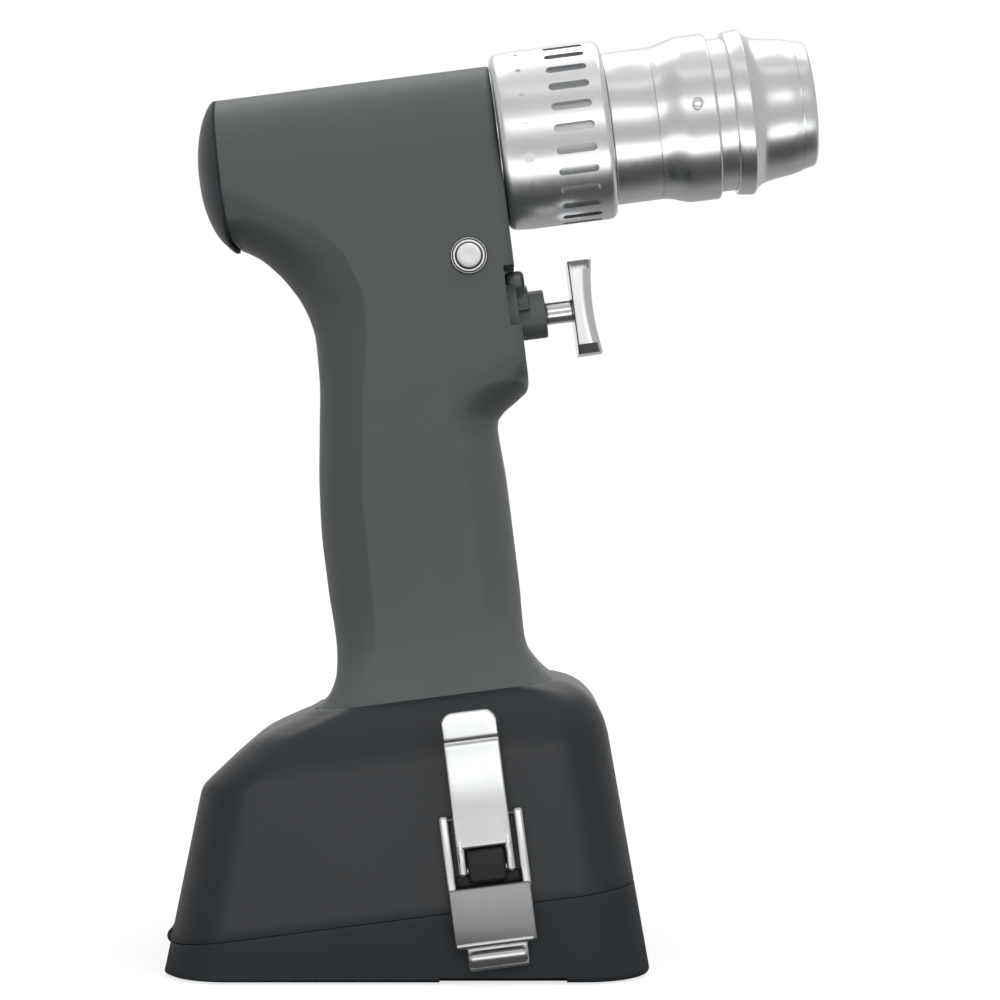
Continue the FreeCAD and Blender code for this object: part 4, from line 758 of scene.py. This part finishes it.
def button():
    """A rod along y with a domed, dished disc on each end."""
    reach = BARREL_R + 1.9
    rise = [(reach - 0.15, 0.01), (reach - 0.1, 1.2), (reach, 1.9), (reach - 0.08, 2.35),
            (reach - 0.3, 2.68), (reach - 0.6, 2.8)]
    profile = rise + [(-x, r) for x, r in reversed(rise)]
    piece = lathe("button_rod", profile, drill, BUTTON_LINE, 48, False, "y")
    return replace(piece, "direction_button", "direction_button", WHITE)


def bezels():
    """On each side a dark ring with two bright ones let into its face."""
    dark, bright = [], []
    for side in (-1, 1):
        back, front = side * (BARREL_R - 2.6), side * (BARREL_R + 0.5)
        face, edge = front - side * 0.1, front - side * 0.2
        profile = [(back, 2.86), (back, 4.25), (edge, 4.25), (face, 4.15), (face, 2.86)]
        dark.append(lathe("bezel", profile, drill, BUTTON_LINE, 72, True, "y"))
        for r0, r1, drop in ((3.18, 3.66, 0.0), (3.92, 4.16, 0.05)):
            face = front - side * drop
            back, edge = front - side * 0.5, face - side * 0.08
            profile = [(back, r0), (edge, r0), (face, r0 + 0.09), (face, r1 - 0.09), (edge, r1), (back, r1)]
            bright.append(lathe("bezel_line", profile, drill, BUTTON_LINE, 72, True, "y"))
    replace(joined("button_rings", dark), "handpiece", "button_bezels", BLACK)
    lines = joined("button_ring_lines", bright)
    return replace(lines, "handpiece", "button_bezels", LATCH_STEEL)


# Base

def base_ring(x0, x1, half, corner, inset):
    """The base's outline, drawn in by an inset."""
    c = corner - inset
    return rounded_ring(x0 + inset, x1 - inset, half - inset, (c, c), (c, c), 18, 24, 14)


def shoulder_ring(v, inset=0.0):
    """The outline at a level of the shoulders, square to the tilted axis."""
    rows = np.array(SHOULDER)
    x0, x1, half, corner = (curve(rows[:, [0, k]], v) for k in (1, 2, 3, 4))
    return drill(level(base_ring(x0, x1, half, corner, inset), v)) / MM


def foot_ring(inset=0.0, z=0.0):
    """The outline of the underside, at a height."""
    return at_height(base_ring(BASE_REAR, BASE_FRONT, BASE_HALF, BASE_CORNER, inset), z)


def drop_of(points):
    """Level below the barrel's axis of points in the standing frame."""
    return (points[..., 0] - AXIS_X) * sin(TILT) - (points[..., 2] - AXIS_Z) * cos(TILT)


def flare(v_from, v_to, shares, inset):
    """Rings on the lines from the crease to the foot, between two levels; None is the foot itself."""
    top, low = shoulder_ring(CREASE_V, inset), foot_ring(inset)
    v0, v1 = drop_of(top), drop_of(low)
    start = (v_from - v0) / (v1 - v0)
    stop = np.ones_like(start) if v_to is None else (v_to - v0) / (v1 - v0)
    rings = []
    for t in shares:
        s = (start + (stop - start) * t)[:, None]
        rings.append(top * (1 - s) + low * s)
    return rings


def hinge_cut():
    """A round notch about the hinge's axis, open to the rear."""
    reach, half = 2.2, 14.8
    round_part = rod("notch", reach, -half, half, standing, (HINGE_X, HINGE_Z), 40, "y")
    back = block("notch_back", (HINGE_X - 6.6, -half, HINGE_Z - reach), (HINGE_X, half, HINGE_Z + reach),
                 0.01, standing)
    return [round_part, back]


def knuckle(spans, up):
    """Round knuckles on the hinge's axis, each with a web to its own wall."""
    hole, r, edge = 0.95, 1.9, 0.2
    z0, z1 = (8.6, 11.4) if up else (2.6, 5.4)
    pieces = []
    for y0, y1 in spans:
        profile = [(y0, hole), (y0, r - edge), (y0 + edge, r), (y1 - edge, r), (y1, r - edge), (y1, hole)]
        pieces.append(lathe("knuckle", profile, standing, (HINGE_X, HINGE_Z), 32, True, "y"))
        pieces.append(block("web", (HINGE_X + 0.1, y0, z0), (HINGE_X + 1.9, y1, z1), 0.2, standing))
    return pieces


def base_shell():
    """Ceiling, inner wall, rim, outer flare and shoulders, as one closed skin of rings.

    Along the crease the rings follow a soft parabola between the last one below it and the first above.
    """
    edge = SEAM_V - SEAM_LINE
    ceiling = GRIP_BOTTOM + 3.2
    inner = [shoulder_ring(v, WALL) for v in (ceiling + 0.01, 133.8, 137.5)]
    inner += flare(CREASE_V, edge, np.linspace(0, 1, 6), WALL)
    outer = flare(CREASE_V, edge - 0.35, np.linspace(1, 0.05, 16), 0.0)
    rim = flare(edge - 0.1, edge, [0.0, 1.0], 0.06) + flare(edge, edge, [0.0], 0.4)
    rim.reverse()
    shoulder = [shoulder_ring(v) for v in np.linspace(CREASE_V - 0.9, GRIP_BOTTOM, 34)]
    low, high = outer[-1], shoulder[0]
    pull = (2 * shoulder_ring(CREASE_V) - (low + high) / 2) * 0.5 + (low + high) * 0.25
    soft = [(1 - t) ** 2 * low + 2 * t * (1 - t) * pull + t * t * high for t in np.linspace(0, 1, 7)[1:-1]]
    shell = skin("base_shell", standing(inner + rim + outer + soft + shoulder))
    shell = carve(shell, hinge_cut())
    shell = joined("base_shell", [shell] + knuckle([(-14.5, -7.2), (7.2, 14.5)], True))
    return replace(shell, "handpiece", "base_housing", BASE)


def lid_shell():
    """Underside, round lower edge, flare, rim and inner wall down to the floor, with two ribs inside."""
    edge, r = SEAM_V + SEAM_LINE, 1.2
    foot_edge = []
    for a in np.radians(np.linspace(0, 90, 7)):
        rise = r * (1 - cos(a))
        foot_edge.append(foot_ring(r * (1 - sin(a)) + rise * 0.15, rise))
    body = flare(edge + 0.3, None, np.linspace(0.94, 0, 10), 0.0)
    rim = flare(edge, edge, [0.0], 0.06) + flare(edge, edge, [0.0], 0.4)
    inner = flare(edge, None, [0.0], WALL)
    floor = foot_ring(WALL, 2.5)
    rings = foot_edge + body + rim + inner + [floor]
    shell = skin("lid_shell", standing(rings))
    cuts = hinge_cut()
    for y in (-BASE_HALF, BASE_HALF):
        cuts.append(block("relief", (8.2, y - 3, -1), (36.7, y + 3, 1.2), 0.01, standing))
    shell = carve(shell, cuts)
    rib_side = ((-46, 2.4), (40, 2.4), (40, 14.0), (-46, 3.0))
    ribs = [skin("rib", standing([[(x, y + half, z) for x, z in rib_side] for half in (-1, 1)]))
            for y in (-18.0, 18.0)]
    shell = joined("lid_shell", [shell] + ribs + knuckle([(-7.0, 7.0)], False))
    return replace(shell, "lid", "lid", LID)


# Latches

# The lever's pivot along the drill and its level, the slope of the wall there, and the bail's pivot
# out of the wall and up it from the lever's
LATCH_X = -25.4
LATCH_V = 165.2
WALL_SLOPE = 0.08907
PIVOT_OUT = 2.2
BAIL_UP = 11.7


def on_wall(side):
    """A place for points (along the wall, out of it, up it) whose origin is at the lever's pivot.

    They lean with the wall's slope, move out to the wall at that level, and are mirrored for the far side.
    """
    lean = atan(WALL_SLOPE)
    half = SHOULDER[-1][3] + (LATCH_V - CREASE_V) * WALL_SLOPE

    def place(points):
        p = np.asarray(points, float)
        inward = p[..., 2] * sin(lean) - p[..., 1] * cos(lean)
        up = p[..., 1] * sin(lean) + p[..., 2] * cos(lean)
        return drill(columns(LATCH_X + p[..., 0], side * (half - inward), up - LATCH_V))

    return place


def wire(name, path, radius, place):
    """A round wire: circles square to a path of (along, out, up) points, each with its own radius.

    The path is read as a smooth line through its points, by length, and its far end is a hemisphere.
    """
    p = np.array(path, float)
    length = np.concatenate([[0], np.cumsum(np.linalg.norm(np.diff(p, axis=0), axis=1))])
    end = radius[-1]
    cap = np.sin(np.linspace(0.12, pi / 2, 7))
    at = np.concatenate([np.linspace(0, length[-1] - end, 70), length[-1] - end + end * cap[:-1],
                         [length[-1] - 0.005]])
    line = np.stack([curve(columns(length, p[:, k]), at) for k in range(3)], -1)
    r = np.interp(at, length, radius)
    r = r * np.sqrt(np.clip(1 - np.clip((at - length[-1] + end) / end, 0, 1) ** 2, 0.0004, 1))
    way = np.gradient(line, at, axis=0)
    way /= np.linalg.norm(way, axis=1, keepdims=True)
    out = np.array([0.0, 1.0, 0.0]) - way * way[:, 1:2]
    out /= np.linalg.norm(out, axis=1, keepdims=True)
    aside = np.cross(way, out)
    a = spaced(0, 2 * pi, 18)[None, :, None]
    rings = line[:, None] + r[:, None, None] * (np.cos(a) * out[:, None] + np.sin(a) * aside[:, None])
    return skin(name, place(rings))


def latch_lever(name, side):
    """Sections of a bent sheet from the fork up to the lip, and two round tines below.

    With t from 0 at the fork to 1 at the crease, the sheet's middle stands out by a bow, b sin^2(pi t),
    less a groove at the crease, g exp(-(z / w)^2), and above the crease by the lip's slope. Its half
    width closes at the top by a quarter circle, and its thickness in the last half millimetre.
    """
    place = on_wall(side)
    low, crease, top, half, corner, thick = 5.0, 28.7, 35.4, 6.3, 3.0, 1.5
    up = np.concatenate([[low, low + 0.06, low + 0.3], np.linspace(low + 0.8, crease - 0.9, 30),
                         crease + np.array([-0.6, -0.35, -0.15, 0.05, 0.3, 0.6]),
                         np.linspace(crease + 1, top - corner, 10),
                         top - corner * (1 - np.sin(np.linspace(0.1, 1.52, 18)))])
    out = 3.35 + 0.45 * np.sin(np.pi * np.clip((up - low) / (crease - low), 0, 1)) ** 2
    out += np.where(up > crease, 1.75 * (up - crease) / (top - crease), 0.0)
    out -= 0.22 * np.exp(-((up - crease) / 0.45) ** 2)
    near_top = np.clip(up - (top - corner), 0, corner)
    wide = half - corner + np.sqrt(corner ** 2 - near_top ** 2)
    flat = thick * np.sqrt(np.clip(1 - np.clip((up - top + 0.45) / 0.45, 0, 1) ** 2, 0.01, 1))
    flat = flat * np.interp(up, [low, low + 0.06, low + 0.3, low + 1], [0.6, 0.8, 1.0, 1.0])
    rings = []
    for z, o, w, t in zip(up, out, wide, flat):
        section = rounded_ring(-w, w, t / 2, (0.5, t / 2), (0.5, t / 2), 5, 12, 2)
        rings.append(columns(section[:, 0], o + section[:, 1], np.full(len(section), z)))
    pieces = [skin("sheet", place(rings))]
    for s in (-1, 1):
        tine = [(5.35 * s, 3.3, 9.0), (5.36 * s, 3.3, 5.0), (5.38 * s, 3.05, 2.0), (5.4 * s, 2.85, -1.35)]
        pieces.append(wire("tine", tine, [0.75, 0.95, 0.95, 1.05], place))
        x0, x1 = sorted((4.5 * s, 6.25 * s))
        pieces.append(block("ear", (x0, 0.95, BAIL_UP - 1.9), (x1, 3.2, BAIL_UP + 1.9), 0.4, place))
        pieces.append(block("foot", (x0, 0.6, -1.3), (x1, 3.2, 2.0), 0.5, place))
    return replace(joined(name + "_plate", pieces), name, name, LATCH_STEEL)


def latch_bail(name, side):
    """A post on each side up to its stub pin, and the plate between them with its rolled foot and hook."""
    place = on_wall(side)
    pieces, stubs = [], []
    for s in (-1, 1):
        x0, x1 = sorted((7.3 * s, 9.45 * s))
        pieces.append(block("post", (x0, 1.1, -5.5), (x1, 3.3, BAIL_UP + 1.05), 0.75, place, 5))
        pin = [(x * s, PIVOT_OUT, BAIL_UP) for x in (4.7, 6.5, 7.9)]
        stubs.append(wire("stub", pin, [0.6] * 3, place))
    pieces.append(block("hook", (-6.9, 2.15, -16.9), (6.9, 3.6, -15.5), 0.25, place))
    foot = [(-8.7, 3.3, -16.2), (-4, 3.35, -16.2), (4, 3.35, -16.2), (8.7, 3.3, -16.2)]
    pieces.append(wire("foot", foot, [0.72] * 4, place))
    plate = block("plate", (-9.2, 2.75, -16.7), (9.2, 3.88, -3.7), 0.4, place)
    replace(joined(name + "_stubs", stubs), name, name, DARK_STEEL)
    replace(joined(name + "_posts", pieces), name, name, LATCH_STEEL)
    return replace(plate, name, name, PLATE_STEEL)


def keepers():
    """On each side a plate with a slot for the hook, and below the slot a half-round bead.

    The bead is a half circle carried along the wall, and drawn in by a round at each end.
    """
    bead_top, bead_low, bead_out = -17.3, -21.8, 2.6
    middle, r = (bead_top + bead_low) / 2, (bead_top - bead_low) / 2
    a = np.linspace(pi / 2, -pi / 2, 25)
    section = np.concatenate([columns(bead_out - r + r * np.cos(a), middle + r * np.sin(a)),
                              [[-0.5, bead_low], [-0.5, bead_top]]])
    along = np.array([-6.5, -6.42, -6.1, -5.6, 5.6, 6.1, 6.42, 6.5])
    draw = np.array([0.6, 0.3, 0.08, 0.0, 0.0, 0.08, 0.3, 0.6])
    rings = np.array([columns(np.full(len(section), x), section[:, 0] - d * (section[:, 0] > 0),
                              middle + (section[:, 1] - middle) * (1 - d / r))
                      for x, d in zip(along, draw)])
    pieces = []
    for side in (-1, 1):
        place = on_wall(side)
        plate = block("keeper", (-6.9, -0.9, -22.3), (6.9, 1.6, -11.6), 0.7, place, 5)
        bead = skin("bead", place(rings))
        slot = block("slot", (-9, 1.0, -17.2), (9, 4, -14.85), 0.01, place)
        pieces += [carve(plate, [slot]), bead]
    return replace(joined("keeper_plates", pieces), "lid", "lid_keepers", LATCH_STEEL)


def lugs():
    """A block in the lever's fork on each side, on a low near-black foot that fills the shade below it:
    painted shade.
    """
    pieces = []
    for side in (-1, 1):
        pieces.append(block("lug", (-4.3, -0.6, -3.0), (4.3, 3.8, 4.8), 0.9, on_wall(side), 5))
        # The foot is a near-black plate put where there is only shade: painted shade
        pieces.append(block("foot", (-7.2, -0.6, -3.6), (7.2, 0.7, -0.9), 0.3, on_wall(side)))
    return replace(joined("lug_blocks", pieces), "handpiece", "latch_lugs", LUG_AND_SHADE)


# Scene

def ramp(tree, value, stops):
    """A strength along the value, eased from one (place, strength) stop to the next."""
    node = add(tree, "ShaderNodeValToRGB", {"Fac": value})
    node.color_ramp.interpolation = "EASE"
    parts = node.color_ramp.elements
    while len(parts) < len(stops):
        parts.new(0.5)
    for part, (at, strength) in zip(parts, stops):
        share = strength / STOPS_TOP
        part.position = at
        part.color = (share, share, share, 1)
    return calc(tree, "MULTIPLY", node.outputs["Color"], STOPS_TOP)


def glow(tree, strength):
    """White light of its own."""
    return add(tree, "ShaderNodeEmission", {"Strength": strength}).outputs["Emission"]


def either(tree, factor, first, second):
    """The first shader where the factor is 0, and the second where it is 1."""
    return add(tree, "ShaderNodeMixShader", {"Fac": factor, 1: first, 2: second}).outputs["Shader"]


def floor_material():
    """A pale floor that shows white to the camera but keeps shadows.

    Reflections see it as painted light in strips: dark under the drill as a painted shadow, then white in
    front of it, then grey.
    """
    mat, tree, shader = material("floor_white")
    feed(tree, shader, {"Base Color": (FLOOR_GREY, FLOOR_GREY, FLOOR_GREY, 1), "Roughness": 0.7,
                        "Specular IOR Level": 0.0})
    path = tree.nodes.new("ShaderNodeLightPath")
    lift = either(tree, path.outputs["Is Camera Ray"], glow(tree, 0.0), glow(tree, FLOOR_LIFT))
    plain = add(tree, "ShaderNodeAddShader", {0: shader.outputs["BSDF"], 1: lift})
    parts = add(tree, "ShaderNodeSeparateXYZ", {"Vector": place_on_object(tree)})
    aside = calc(tree, "ABSOLUTE", calc(tree, "SUBTRACT", parts.outputs["X"], FLOOR_MIDDLE))
    forward = spread(tree, parts.outputs["Y"], 0.0, 1.0, FLOOR_REACH, -FLOOR_REACH)
    strips = between(tree, spread(tree, aside, 0.0, 1.0, *FLOOR_SIDES), ramp(tree, forward, FLOOR_STRIPS),
                     STRIP_GREY)
    shown = either(tree, path.outputs["Is Glossy Ray"], plain.outputs["Shader"], glow(tree, strips))
    feed(tree, tree.nodes["Material Output"], {"Surface": shown})
    return mat


def sky():
    """White to the camera, strips of light to reflections, and a soft light from one side and above."""
    world = bpy.data.worlds.new("studio")
    world.use_nodes = True
    tree = world.node_tree
    way = tree.nodes.new("ShaderNodeTexCoord").outputs["Generated"]
    toward = add(tree, "ShaderNodeVectorMath", {0: way, 1: KEY}, operation="DOT_PRODUCT")
    soft = ramp(tree, spread(tree, toward.outputs["Value"], 0.0, 1.0, -1.0, 1.0), SOFT_LIGHT)
    parts = add(tree, "ShaderNodeSeparateXYZ", {"Vector": way})
    behind = spread(tree, parts.outputs["Y"], 0.0, 1.0, -0.05, 0.05)
    strips = between(tree, behind, ramp(tree, parts.outputs["Z"], FRONT_STRIPS),
                     ramp(tree, parts.outputs["Z"], BACK_STRIPS))
    aside = calc(tree, "ABSOLUTE", parts.outputs["X"])
    reflected = between(tree, spread(tree, aside, 0.0, 1.0, *STRIP_SIDES), strips, STRIP_GREY)
    path = tree.nodes.new("ShaderNodeLightPath")
    found = between(tree, path.outputs["Is Glossy Ray"], soft, reflected)
    direct = calc(tree, "MAXIMUM", path.outputs["Is Camera Ray"], path.outputs["Is Transmission Ray"])
    shown = between(tree, direct, found, 1.0)
    feed(tree, tree.nodes["Background"], {"Color": (1, 1, 1, 1), "Strength": shown})
    bpy.context.scene.world = world


def studio():
    """A pale floor, the sky and a level camera."""
    mesh = bpy.data.meshes.new("floor")
    turns = ((-1, -1), (1, -1), (1, 1), (-1, 1))
    mesh.from_pydata([(x * FLOOR_HALF, y * FLOOR_HALF, FLOOR_Z) for x, y in turns], [], [(0, 1, 2, 3)])
    mesh.materials.append(floor_material())
    put("floor", mesh)
    sky()
    lens = bpy.data.cameras.new("camera")
    lens.sensor_width = 36.0
    lens.lens = lens.sensor_width * CAMERA_BACK / PICTURE_WIDTH
    lens.clip_end = 40
    camera = put("camera", lens)
    camera.location = (CAMERA_X, -CAMERA_BACK, CAMERA_Z)
    camera.rotation_euler = (pi / 2, 0, 0)
    bpy.context.scene.camera = camera
    bpy.context.scene.view_settings.view_transform = "Standard"


# Finish of the nodes that keep their own shape
FINISHES = [
    (RUBBER, ["rear_cap_seal", "shaft_seal", "lid_gasket"]),
    (LAMINATION, ["motor_stator", "motor_bulkhead"]),
    (COPPER, ["motor_windings", "contact_blades"]),
    (STEEL, ["rotor_bearings", "ring_gear", "rotor_shaft", "rotor_core", "planet_gear_1", "planet_gear_2",
             "planet_gear_3", "planet_pins", "planet_carrier", "nose_mount", "output_bearings", "nose_spring",
             "spindle", "lock_balls", "trigger_spring", "grip_screws", "hinge_pin", "latch_pins"]),
    (DARK_STEEL, ["rotor_magnets", "trigger_magnet"]),
    (BOARD, ["switch_board", "control_board"]),
    (BLACK, ["switch_block", "contact_block", "battery_case"]),
    (CELL, ["battery_cells"]),
]


def main():
    studio()
    handpiece()
    rear_cap()
    collar()
    sleeve_rear()
    sleeve_front()
    nose()
    trigger()
    bushing()
    button()
    bezels()
    mode_lever()
    base_shell()
    lid_shell()
    for end, side in (("near", -1), ("far", 1)):
        latch_lever("latch_lever_" + end, side)
        latch_bail("latch_bail_" + end, side)
    keepers()
    lugs()
    for finish, nodes in FINISHES:
        for node in nodes:
            dress(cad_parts[node], finish)


main()
